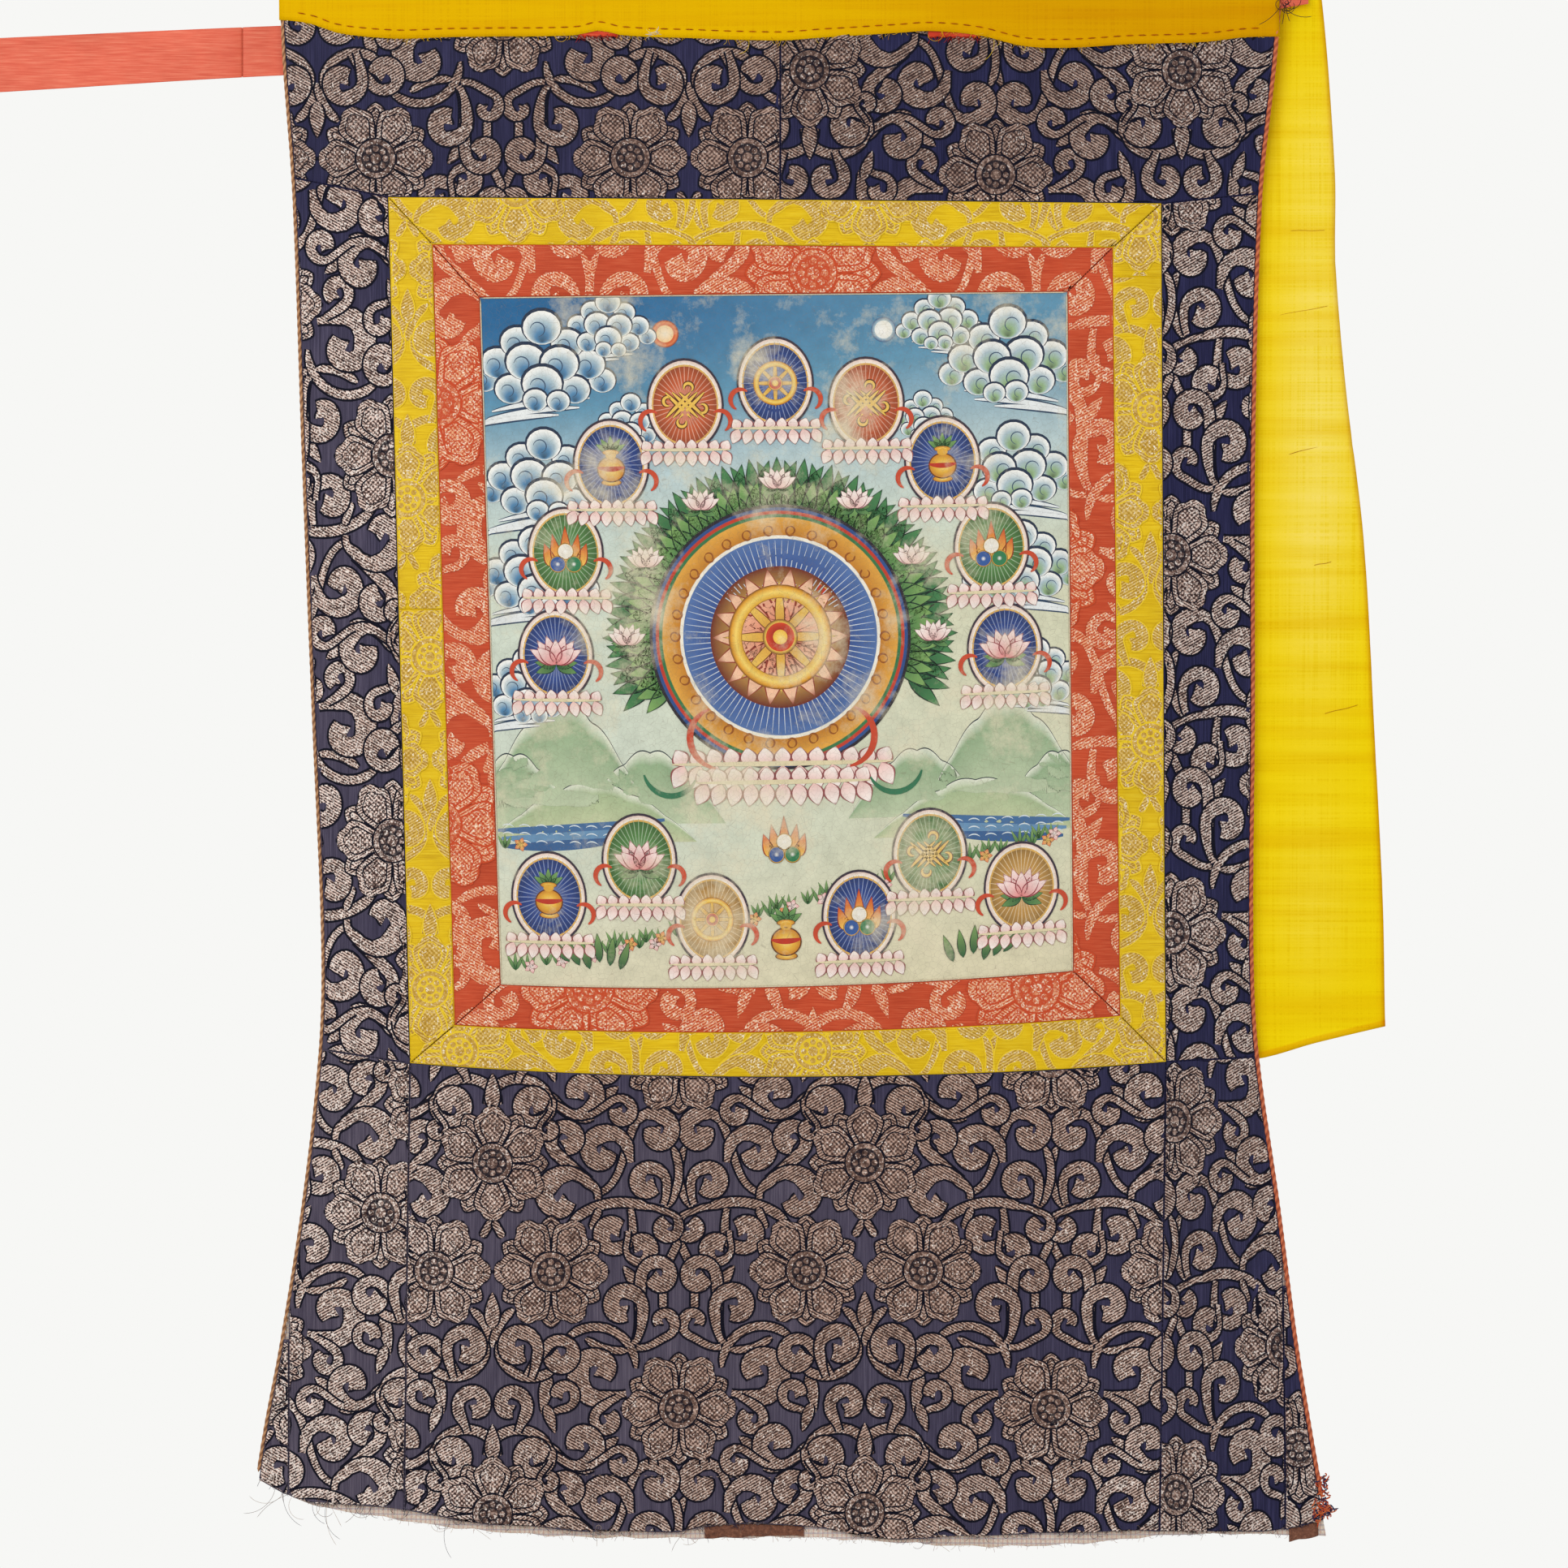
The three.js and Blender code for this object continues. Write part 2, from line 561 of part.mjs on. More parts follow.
addCanvas();
addBands("red", RED_FRAME, CANVAS_FRAME, LAYERS.redBand, MATERIALS.redBand);
addBands("yellow", YELLOW_FRAME, RED_FRAME, LAYERS.yellowBand, MATERIALS.yellowBand, YELLOW_JOINS);
addBrocade();
addLining();
addFacings();
addPiping("piping_left", leftEdge, 1, brocadeHem(leftEdge(1366)));
addPiping("piping_right", rightEdge, -1, brocadeHem(rightEdge(1400)));
addVeil();
addRibbon();
addStubs();

export default thangka;
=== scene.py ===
# A hung thangka: a painted canvas in red and yellow silk bands and a brocade mount, with its silk veil
# thrown back over the top, a red ribbon behind it and a torn hem at the foot.
# Metres, +Z up, the painted face towards -Y. Tables are in millimetres: "across" to the right of the
# middle, "drop" down from the hanging edge.
import json

import bpy
import numpy as np
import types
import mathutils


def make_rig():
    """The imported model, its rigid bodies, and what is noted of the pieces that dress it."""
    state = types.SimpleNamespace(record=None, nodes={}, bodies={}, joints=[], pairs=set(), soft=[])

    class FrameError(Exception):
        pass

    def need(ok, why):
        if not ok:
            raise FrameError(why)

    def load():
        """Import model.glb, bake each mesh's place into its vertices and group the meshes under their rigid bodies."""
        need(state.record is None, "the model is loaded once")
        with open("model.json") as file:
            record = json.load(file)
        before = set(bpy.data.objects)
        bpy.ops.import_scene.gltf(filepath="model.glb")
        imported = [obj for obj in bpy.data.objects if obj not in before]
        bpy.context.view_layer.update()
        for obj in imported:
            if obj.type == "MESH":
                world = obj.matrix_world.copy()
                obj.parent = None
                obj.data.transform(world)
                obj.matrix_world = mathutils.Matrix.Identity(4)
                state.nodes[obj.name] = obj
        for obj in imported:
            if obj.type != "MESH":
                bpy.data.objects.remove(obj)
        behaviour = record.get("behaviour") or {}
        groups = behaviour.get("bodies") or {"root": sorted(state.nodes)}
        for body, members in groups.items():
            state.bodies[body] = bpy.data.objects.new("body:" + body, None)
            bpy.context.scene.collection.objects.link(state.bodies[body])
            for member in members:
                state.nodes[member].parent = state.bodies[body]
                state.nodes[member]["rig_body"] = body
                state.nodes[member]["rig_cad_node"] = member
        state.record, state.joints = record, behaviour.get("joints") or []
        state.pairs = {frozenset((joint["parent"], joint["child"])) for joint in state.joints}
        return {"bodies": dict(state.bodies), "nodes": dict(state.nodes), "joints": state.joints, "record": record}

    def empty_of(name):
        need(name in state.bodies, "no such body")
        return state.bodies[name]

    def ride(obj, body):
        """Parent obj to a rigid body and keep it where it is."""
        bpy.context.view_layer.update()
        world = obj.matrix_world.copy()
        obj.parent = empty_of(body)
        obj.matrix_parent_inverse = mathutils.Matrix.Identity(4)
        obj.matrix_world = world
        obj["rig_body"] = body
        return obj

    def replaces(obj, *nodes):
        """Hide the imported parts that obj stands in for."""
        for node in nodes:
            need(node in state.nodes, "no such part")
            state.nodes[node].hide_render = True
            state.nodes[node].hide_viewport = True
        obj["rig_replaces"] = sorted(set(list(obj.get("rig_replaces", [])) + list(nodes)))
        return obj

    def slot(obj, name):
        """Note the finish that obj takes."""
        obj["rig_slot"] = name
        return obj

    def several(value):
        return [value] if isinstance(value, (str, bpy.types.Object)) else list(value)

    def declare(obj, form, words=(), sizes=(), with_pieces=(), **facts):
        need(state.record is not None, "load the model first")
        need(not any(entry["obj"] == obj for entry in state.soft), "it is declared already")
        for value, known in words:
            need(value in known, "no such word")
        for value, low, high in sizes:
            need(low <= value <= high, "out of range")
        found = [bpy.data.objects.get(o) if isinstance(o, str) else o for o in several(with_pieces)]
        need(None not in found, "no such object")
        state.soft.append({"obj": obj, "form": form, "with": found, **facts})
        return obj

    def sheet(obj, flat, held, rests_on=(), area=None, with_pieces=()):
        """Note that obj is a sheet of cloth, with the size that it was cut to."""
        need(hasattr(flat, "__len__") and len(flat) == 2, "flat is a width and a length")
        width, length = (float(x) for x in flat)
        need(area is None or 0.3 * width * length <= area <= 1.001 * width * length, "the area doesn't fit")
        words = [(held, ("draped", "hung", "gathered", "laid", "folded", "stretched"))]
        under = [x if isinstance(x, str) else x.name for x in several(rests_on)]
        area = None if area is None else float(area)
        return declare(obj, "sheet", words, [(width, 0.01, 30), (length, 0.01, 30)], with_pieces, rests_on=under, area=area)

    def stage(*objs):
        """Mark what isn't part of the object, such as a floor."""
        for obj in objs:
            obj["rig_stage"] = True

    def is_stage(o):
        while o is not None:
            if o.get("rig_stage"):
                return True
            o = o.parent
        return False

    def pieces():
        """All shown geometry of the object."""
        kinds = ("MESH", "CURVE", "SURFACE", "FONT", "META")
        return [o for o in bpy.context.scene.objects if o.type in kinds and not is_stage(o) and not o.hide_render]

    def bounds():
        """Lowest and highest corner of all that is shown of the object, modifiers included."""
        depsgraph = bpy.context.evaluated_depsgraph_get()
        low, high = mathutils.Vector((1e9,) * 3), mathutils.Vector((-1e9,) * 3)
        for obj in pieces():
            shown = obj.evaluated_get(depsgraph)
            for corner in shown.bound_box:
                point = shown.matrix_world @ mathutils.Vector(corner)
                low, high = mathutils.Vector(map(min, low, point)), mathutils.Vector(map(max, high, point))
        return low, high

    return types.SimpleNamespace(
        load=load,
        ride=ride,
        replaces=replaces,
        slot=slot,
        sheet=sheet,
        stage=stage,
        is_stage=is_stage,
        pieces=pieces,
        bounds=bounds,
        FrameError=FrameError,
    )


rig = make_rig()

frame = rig.load()
cad_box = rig.bounds()

# Studio: a pale floor below the hem, off-white all round, a large soft lamp on the upper left and a weaker
# one on the right. The camera looks square on at the cloth.
CAMERA_FAR, VIEW_WIDTH = 3.6, 1.391
FLOOR_SIDE, FLOOR_FRONT, FLOOR_BACK, FLOOR_LEVEL = 2.6, -3, 0.62, -1.63
scene = bpy.context.scene
scene.view_settings.view_transform = "Standard"


def dye(red, green, blue):
    """A colour from its screen values of 0 to 255, as linear light."""
    share = np.array((red, green, blue)) / 255
    return tuple(np.where(share <= 0.04045, share / 12.92, ((share + 0.055) / 1.055) ** 2.4)) + (1.0,)


def add_node(tree, kind, inputs=None, **settings):
    """A node with its settings, and its inputs each set to a value or joined to another node's output."""
    node = tree.nodes.new("ShaderNode" + kind)
    for key, value in settings.items():
        setattr(node, key, value)
    for key, value in (inputs or {}).items():
        if isinstance(value, bpy.types.NodeSocket):
            tree.links.new(value, node.inputs[key])
        else:
            node.inputs[key].default_value = value
    return node


def linear(colour):
    """A colour as linear light: a grey from one number, three screen values, or four linear ones."""
    if np.ndim(colour) == 0:
        return (colour, colour, colour, 1)
    return dye(*colour) if len(colour) == 3 else colour


def new_material(name, roughness, **sockets):
    """A material with its shader's fixed sockets set; gives it, its node tree, the shader and the place of a
    point in the object."""
    material = bpy.data.materials.new(name)
    material.use_nodes = True
    tree = material.node_tree
    shader = tree.nodes["Principled BSDF"]
    shader.inputs["Roughness"].default_value = roughness
    for key, value in sockets.items():
        shader.inputs[key.replace("_", " ")].default_value = value
    return material, tree, shader, add_node(tree, "TexCoord").outputs["Object"]


def add_noise(tree, place, scale, detail=2.0, roughness=0.5):
    """Noise over a place, as a factor of about 0 to 1."""
    inputs = {"Vector": place, "Scale": scale, "Detail": detail, "Roughness": roughness}
    return add_node(tree, "TexNoise", inputs).outputs["Fac"]


def add_ramp(tree, factor, *stops):
    """A colour ramp over a factor, from pairs of a place and a colour."""
    node = add_node(tree, "ValToRGB", {"Fac": factor})
    ramp = node.color_ramp.elements
    while len(ramp) < len(stops):
        ramp.new(0.5)
    for element, (place, colour) in zip(ramp, stops):
        element.position, element.color = place, linear(colour)
    return node.outputs["Color"]


def add_mix(tree, factor, first, second, how="MIX"):
    """Two colours mixed by a factor."""
    inputs = {0: factor, 6: first, 7: second}
    return add_node(tree, "Mix", inputs, data_type="RGBA", blend_type=how).outputs[2]


def dress(tree, shader, colour, height=None, strength=0.0, distance=0.0):
    """Joins a colour to a shader and, where there is a height, a bump of that strength and distance."""
    tree.links.new(colour, shader.inputs["Base Color"])
    if strength:
        bump = add_node(tree, "Bump", {"Height": height, "Strength": strength, "Distance": distance})
        tree.links.new(bump.outputs["Normal"], shader.inputs["Normal"])


def new_piece(name, points, faces, material, **values):
    """A smooth object at the origin from rows of points and of four corner numbers, with a value or a
    colour for every point stored under each given name."""
    mesh = bpy.data.meshes.new(name)
    mesh.vertices.add(len(points))
    mesh.vertices.foreach_set("co", np.ascontiguousarray(points, np.float32).ravel())
    mesh.loops.add(faces.size)
    mesh.loops.foreach_set("vertex_index", np.ascontiguousarray(faces, np.int32).ravel())
    mesh.polygons.add(len(faces))
    mesh.polygons.foreach_set("loop_start", np.arange(0, faces.size, 4, dtype=np.int32))
    mesh.update(calc_edges=True)
    mesh.shade_smooth()
    for key, value in values.items():
        value = np.asarray(value, np.float32)
        colour = value.ndim == 2
        layer = mesh.attributes.new(key, "FLOAT_COLOR" if colour else "FLOAT", "POINT")
        layer.data.foreach_set("color" if colour else "value", value.ravel())
    mesh.materials.append(material)
    piece = bpy.data.objects.new(name, mesh)
    scene.collection.objects.link(piece)
    return piece


def new_lamp(name, place, turn, size, energy, colour):
    """A square soft lamp at a place, turned about X and then Z."""
    lamp = bpy.data.lights.new(name, "AREA")
    lamp.size, lamp.energy, lamp.color = size, energy, colour
    holder = bpy.data.objects.new(name, lamp)
    holder.location, holder.rotation_euler = place, np.radians(turn)
    scene.collection.objects.link(holder)


camera = bpy.data.objects.new("camera", bpy.data.cameras.new("camera"))
camera.location, camera.rotation_euler = (0.0043, -CAMERA_FAR, -0.753), (np.pi / 2, 0, 0)
camera.data.lens = camera.data.sensor_width * CAMERA_FAR / VIEW_WIDTH
scene.collection.objects.link(camera)
scene.camera = camera
new_lamp("lamp_left", (-1.7, -2.3, 0.7), (62, 0, -36), 2.6, 48, (1, 0.985, 0.96))
new_lamp("lamp_right", (2.3, -2.0, -0.2), (80, 0, 50), 2.0, 18, (0.97, 0.985, 1))
world = bpy.data.worlds.new("studio")
world.use_nodes = True
scene.world = world
sky = world.node_tree
seen = add_node(sky, "LightPath").outputs["Is Camera Ray"]
seen_part = add_node(sky, "Background", {"Color": dye(247, 247, 245), "Strength": 1.0})
light_part = add_node(sky, "Background", {"Color": dye(247, 246, 245), "Strength": 0.5})
both = add_node(sky, "MixShader", {0: seen, 1: light_part.outputs[0], 2: seen_part.outputs[0]})
sky.links.new(both.outputs[0], sky.nodes["World Output"].inputs["Surface"])
floor_paint, tree, shader, place = new_material("floor_paint", 0.8)
spots = add_noise(tree, place, 2.0)
dress(tree, shader, add_ramp(tree, spots, (0.3, (238, 237, 233)), (0.7, (244, 243, 240))))
floor_corners = np.array([(-FLOOR_SIDE, FLOOR_BACK, FLOOR_LEVEL), (-FLOOR_SIDE, FLOOR_FRONT, FLOOR_LEVEL),
                          (FLOOR_SIDE, FLOOR_FRONT, FLOOR_LEVEL), (FLOOR_SIDE, FLOOR_BACK, FLOOR_LEVEL)])
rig.stage(new_piece("floor", floor_corners, np.array([(0, 1, 2, 3)]), floor_paint))

# Painted canvas: fine cotton sized with chalk and painted in mineral colours, sewn into the red band.
# It hangs on the same soft surface as every other cloth of the mount.
CANVAS_FRAME = ((-266, 321), (256, 316), (-247, 931), (261, 919), 8)  # upper and lower corners, foot's sag
SWELLS = np.array([  # across, drop, reach across, reach down, depth
    (-250, 1200, 130, 190, -7), (60, 1260, 150, 180, 6), (310, 1220, 110, 220, -6), (-90, 640, 200, 220, -5),
    (230, 450, 150, 160, 4), (-330, 350, 120, 150, 4), (150, 170, 180, 100, -3), (-440, 1350, 90, 90, 9),
    (480, 1370, 90, 90, -8)]) / 1000
CREASES = np.array([  # middle across and drop, length, slope of the line down per across, width, depth
    (-120, 1105, 330, 0.03, 15, 0.9), (140, 1180, 300, -0.05, 16, -0.9), (-250, 1290, 260, 0.06, 15, 0.9),
    (230, 1320, 260, 0.02, 15, 0.9), (-30, 1350, 420, 0.01, 14, -0.9), (-200, 160, 260, 0.05, 15, 0.8),
    (230, 190, 260, -0.04, 15, -0.8), (0, 1000, 560, 0.0, 16, -0.9), (20, 420, 440, 0.01, 15, 0.4),
    (0, 585, 460, -0.01, 15, -0.4), (10, 760, 460, 0.01, 16, 0.45), (-10, 880, 440, 0.0, 15, -0.4)])


def bell(offset, reach):
    """A round swell of height one: e to the minus half of the square of the offset over the reach."""
    return np.exp(-0.5 * (offset / reach) ** 2)


def smooth(value, low, high):
    """Zero below low, one above high and an even S between them."""
    share = np.clip((value - low) / (high - low), 0, 1)
    return share * share * (3 - 2 * share)


def hung_depth(across, drop):
    """Depth of the hung surface: the sides turn back with the square of their distance past 180 mm, most
    at the waist; round swells and long shallow creases are added."""
    turned = np.maximum(0, np.minimum(np.abs(across), 0.425) - 0.18) / 0.24
    depth = 0.032 * turned**2 * bell(drop - 0.9, 0.38 / np.sqrt(2))
    for x, z, reach_across, reach_down, height in SWELLS:
        depth = depth + height * bell(across - x, reach_across) * bell(drop - z, reach_down)
    for x, z, length, slope, width, height in CREASES / (1000, 1000, 1000, 1, 1000, 1000):
        line = drop - z - slope * (across - x)
        depth = depth + height * bell(line, width) * bell(across - x, length / 2.4)
    return depth


def lerp(first, second, share):
    """The point a share of the way from the first to the second."""
    return first + (second - first) * share


def line_drop(first, second):
    """Drop against across on the straight line through two points."""
    return lambda across: lerp(first[1], second[1], (across - first[0]) / (second[0] - first[0]))


def line_across(first, second):
    """Across against drop on the straight line through two points."""
    return lambda drop: lerp(first[0], second[0], (drop - first[1]) / (second[1] - first[1]))


def frame_edges(rows):
    """A frame's edges from its corners: straight left, right and top, and a foot that sags by four times
    s times one less s; gives the edges, the corners and the foot."""
    tl, tr, bl, br = np.array(rows[:4]) / 1000
    share = lambda across: (across - bl[0]) / (br[0] - bl[0])
    foot = lambda across: line_drop(bl, br)(across) + rows[4] / 250 * share(across) * (1 - share(across))
    return line_across(tl, bl), line_across(tr, br), line_drop(tl, tr), foot, (tl, tr, bl, br)


def between(edges, s, t):
    """Points of a cloth at shares s between its side edges, which are functions of drop, and t between its
    upper and lower edges, which are functions of across, settled in eight passes."""
    left, right, top, foot = edges[:4]
    s, t = np.broadcast_arrays(s, t)
    drop = lerp(top(s * 0), foot(s * 0), t)
    for _ in range(8):
        across = lerp(left(drop), right(drop), s)
        drop = lerp(top(across), foot(across), t)
    return across, drop


def shares(length, cell, narrow=(0, 0.6, 1.3, 2.2)):
    """Fractions along an edge: even cells, with narrow ones at both ends for a turned-under seam."""
    ends = np.array(narrow) / 1000 / length
    even = np.linspace(ends[-1], 1 - ends[-1], max(3, int(length / cell)))
    return np.concatenate([ends[:-1], even, 1 - ends[-2::-1]])


def sheet_faces(rows, columns):
    """Corner numbers of a closed sheet: a front grid, a back grid and a band of faces round their rim."""
    front, back = np.arange(2 * rows * columns).reshape(2, rows, columns)
    cells = lambda a: np.stack([a[:-1, :-1], a[1:, :-1], a[1:, 1:], a[:-1, 1:]], -1).reshape(-1, 4)
    rim = lambda a: np.concatenate([a[0, :-1], a[:-1, -1], a[-1, :0:-1], a[:0:-1, 0]])
    near, far = rim(front), rim(back)
    wall = np.stack([near, np.roll(near, -1), np.roll(far, -1), far], -1)
    return np.concatenate([cells(front), cells(back)[:, ::-1], wall])


def seam_dip(edges, across, drop, sewn):
    """How far a cloth's face dips into its seams: up to 0.7 mm, over the last 2 mm to each sewn edge."""
    left, right, top, foot = edges[:4]
    gaps = (across - left(drop), right(drop) - across, drop - top(across), foot(across) - drop)
    near = np.min([gap for gap, is_sewn in zip(gaps, sewn) if is_sewn], axis=0)
    return 0.0007 * (1 - smooth(near, 0, 0.002))


def new_cloth(name, node, edges, layer, material, cell=0.008, sewn=(1, 1, 1, 1), **look):
    """A closed sheet between four edges, its two faces a layer's depths behind the hung surface; look gives
    a function of across and drop for each value of its points. It takes the place of a CAD node."""
    x, z = between(edges, np.array([0, 1, 0.5, 0.5]), np.array([0.5, 0.5, 0, 1]))
    s, t = np.meshgrid(shares(x[1] - x[0], cell), shares(z[3] - z[2], cell))
    across, drop = between(edges, s, t)
    depth = hung_depth(across, drop)
    front, back = layer[0] + seam_dip(edges, across, drop, sewn), layer[1]
    faces = [np.stack([across, depth + offset, -drop], -1) for offset in (front, back)]
    values = {}
    for key, function in look.items():
        value = function(across, drop).reshape(across.size, -1)
        values[key] = np.concatenate([value, value]).squeeze()
    piece = new_piece(name, np.concatenate(faces).reshape(-1, 3), sheet_faces(*s.shape), material, **values)
    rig.replaces(piece, node)
    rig.ride(piece, "root")
    return piece


def cut_size(edges):
    """A cloth's flat cut: its greatest width and length, and its area from its cells' cross products."""
    s, t = np.meshgrid(np.linspace(0, 1, 60), np.linspace(0, 1, 60))
    across, drop = between(edges, s, t)
    one = (across[1:, 1:] - across[:-1, :-1]) * (drop[1:, :-1] - drop[:-1, 1:])
    other = (drop[1:, 1:] - drop[:-1, :-1]) * (across[1:, :-1] - across[:-1, 1:])
    area = np.abs(one - other).sum() / 2
    return dict(flat=(float(np.ptp(across)), float(np.ptp(drop))), area=float(area))


def merge(grids):
    """Joins grids of n by rows by columns points, each with the same values behind its place, into one list
    of points and one of corner numbers."""
    points, faces, start = [], [], 0
    for grid in grids:
        number = start + np.arange(np.prod(grid.shape[:3])).reshape(grid.shape[:3])
        cells = (number[:, :-1, :-1], number[:, 1:, :-1], number[:, 1:, 1:], number[:, :-1, 1:])
        faces.append(np.stack(cells, -1).reshape(-1, 4))
        points.append(grid.reshape(-1, grid.shape[3]))
        start += number.size
    return np.concatenate(points), np.concatenate(faces)


def face_viewer(points, faces):
    """Turns each face to the viewer by the sign of its area, and leaves out those pressed flat."""
    x, z = points[faces, 0], points[faces, 1]
    area = (x * np.roll(z, -1, 1) - np.roll(x, -1, 1) * z).sum(1) / 2
    faces = np.where(area[:, None] > 0, faces[:, ::-1], faces)[np.abs(area) > 4e-9]
    used, faces = np.unique(faces, return_inverse=True)
    return points[used], faces.reshape(-1, 4)


def add_value(tree, name, kind="Fac"):
    """A value, or a colour, stored under a name at the points of a mesh."""
    return add_node(tree, "Attribute", attribute_name=name).outputs[kind]


def rgb(colour):
    """A colour's three values as linear light, from its screen values."""
    return np.array(dye(*colour)[:3])


def blend(share, at, colours):
    """Colours at shares between stops, from the stops' own shares and screen values."""
    stops = np.array([rgb(colour) for colour in colours])
    return np.stack([np.interp(share, at, stops[:, i]) for i in range(3)], -1)


def paint_ground(across, drop):
    """The canvas's ground colour: a deep blue sky, strongest at the upper left, that pales to celadon and
    further down to cream."""
    down = smooth(drop, 0.33, 0.6) * 0.8 + smooth(across, -0.25, 0.25) * 0.2
    sky_part = blend(down, (0, 0.22, 0.5, 0.8, 1),
                     ((32, 100, 152), (98, 152, 182), (184, 206, 210), (208, 220, 206), (216, 218, 190)))
    meadow = (smooth(drop, 0.78, 0.93) * 0.7)[..., None]
    ground = lerp(sky_part, rgb((226, 216, 182)), meadow)
    return np.concatenate([ground, np.ones(np.shape(down) + (1,))], -1)


canvas_edges = frame_edges(CANVAS_FRAME)
canvas_paint, tree, shader, place = new_material("canvas_paint", 0.82)
mottle = add_noise(tree, place, 60.0, 6.0, 0.7)
rubbed = add_noise(tree, place, 11.0, 8.0, 0.72)
cracked = add_node(tree, "TexVoronoi", {"Vector": place, "Scale": 210.0}, feature="DISTANCE_TO_EDGE")
tone = add_ramp(tree, mottle, (0.25, (0.84, 0.83, 0.81, 1)), (0.7, (1.1, 1.08, 1.06, 1)))
shade = add_mix(tree, 1.0, add_value(tree, "paint", "Color"), tone, "MULTIPLY")
worn = add_ramp(tree, rubbed, (0.5, 0), (0.68, 0.8))
shade = add_mix(tree, worn, shade, dye(228, 218, 188))
line = add_ramp(tree, cracked.outputs["Distance"], (0.0, 0.35), (0.03, 0))
shade = add_mix(tree, line, shade, dye(120, 104, 84))
dress(tree, shader, shade, add_noise(tree, place, 900.0), 0.15, 0.0004)
canvas = new_cloth("canvas_cloth", "painted_canvas", canvas_edges, (-0.0004, 0.0006), canvas_paint,
                   paint=paint_ground)
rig.slot(canvas, "painted_canvas")

# Painting: emblems of good luck in a landscape. Mineral colours lie in thin coats, each a little above the
# last: hills, clouds, a wheel in a leafy halo and an arch of small medallions.
FIELD = (516, 606)  # width and height over which the design is drawn
COAT = 0.000009  # thickness of one coat in metres
HUB = (0, 300)  # middle of the large wheel
BLUE, GREEN, ORANGE, SAND = (44, 70, 138), (84, 132, 72), (196, 92, 52), (196, 150, 80)
OLD_GOLD, PINE = (222, 176, 92), (52, 120, 74)


def towards(angle):
    """The unit step along a heading in radians, as across and down; headings turn from right to up."""
    return np.stack([np.cos(angle), -np.sin(angle)], -1)


def vine_edges(rows, samples=14):
    """A stem's two edges from start across and down, heading, length, turn and width: half its width either
    side of a path whose heading turns evenly."""
    s = np.linspace(0, 1, samples)
    angle = np.radians(rows[:, 2:3] + rows[:, 4:5] * s)
    step = towards(angle) * rows[:, 3, None, None] / (samples - 1)
    path = rows[:, None, :2] + np.cumsum(step, axis=1) - step[:, :1]
    beside = towards(angle + np.pi / 2) * rows[:, 5, None, None] / 2
    return path - beside, path + beside


coats = []


def table(*parts):
    """Rows of numbers from columns, each a list or one number for all the rows."""
    return np.stack(np.broadcast_arrays(*parts), -1)


def fan(x, z, headings, length, width):
    """Rows of petals that leave one foot at several headings."""
    return [(x, z, heading, length, width) for heading in headings]


def paint_grid(place, colour, coat):
    """Adds a grid of painted points, in millimetres from the canvas's top middle, with colours and coat."""
    height = np.broadcast_to(np.asarray(coat, float), place.shape[:3])[..., None]
    coats.append(np.concatenate([place, height, np.broadcast_to(colour, place.shape[:3] + (3,))], -1))


def paint_discs(rows, stops, coat, points=30, sink=0.0):
    """Ovals, from middle across and down and two radii, in rings of colour at shares of their radius; the
    inner rings sink towards the foot by a share of it."""
    rows = np.array(rows, float).reshape(-1, 4)
    rim = towards(np.linspace(0, 2 * np.pi, points + 1))
    at, colours = zip(*stops)
    even = np.linspace(at[0], at[-1], 2 + int(rows[:, 2:].max() / 14))
    share = np.unique(np.concatenate([at, even]))
    place = rows[:, None, None, :2] + share[:, None, None] * rim * rows[:, None, None, 2:]
    place[..., 1] += (1 - share[:, None]) * sink * rows[:, None, None, 3]
    paint_grid(place, blend(share, at, colours)[None, :, None], coat)


def paint_petals(rows, foot, tip, rim, coat, full=0.75, samples=9):
    """Petals, from foot across and down, heading, length and width: half the width times the sine of pi
    times s to the power full; coloured from foot to tip, with a rim of its own."""
    rows = np.array(rows, float).reshape(-1, 5)
    s = np.linspace(0, 1, samples)
    side = np.array([-1, -0.82, -0.8, 0, 0.8, 0.82, 1])
    angle = np.radians(rows[:, 2])
    path = rows[:, None, None, :2] + s[:, None, None] * (rows[:, 3, None] * towards(angle))[:, None, None]
    half = rows[:, 4, None] / 2 * towards(angle + np.pi / 2)
    wide = (np.sin(np.pi * s**full)[:, None] * side)[..., None] * half[:, None, None]
    body = lerp(rgb(foot), rgb(tip), s[:, None, None])
    on_rim = (np.abs(side) > 0.81)[:, None] | (s > 0.93)[:, None, None]
    paint_grid(path + wide, np.where(on_rim, rgb(rim), body), coat)


def paint_strokes(rows, colour, coat):
    """Brush strokes of one colour along evenly turning paths, tapered to both ends."""
    rows = np.array(rows, float).reshape(-1, 6)
    inner, outer = vine_edges(rows)
    middle, taper = (inner + outer) / 2, np.sin(np.linspace(0.12, np.pi - 0.12, 14))[:, None] ** 0.6
    edges = [lerp(middle, edge, taper) for edge in (inner, outer)]
    paint_grid(np.stack(edges, 2), rgb(colour), coat)


def paint_hills(rows, top, foot, coat):
    """Hills, from middle and foot across and down, half width and height: the height times one less the
    share of the half width to the power 1.7, with scalloped shoulders; a dark rim over a fading slope."""
    share = np.array([1, 0.985, 0.98, 0.8, 0.6, 0.4, 0.2, 0])
    s = np.linspace(-1, 1, 61)
    ridge = [rgb(colour) for colour in ((36, 52, 60), (36, 52, 60), (226, 232, 214))]
    slope = lerp(rgb(foot), rgb(top), share[3:, None] / 0.8)
    for x, z, half, high in rows:
        crest = high * (1 - np.abs(s) ** 1.7) * (1 + 0.07 * np.abs(np.sin(9 * s)))
        place = np.stack(np.broadcast_arrays(x + half * s, z - crest * share[:, None]), -1)
        paint_grid(place[None], np.concatenate([ridge, slope])[None, :, None], coat)


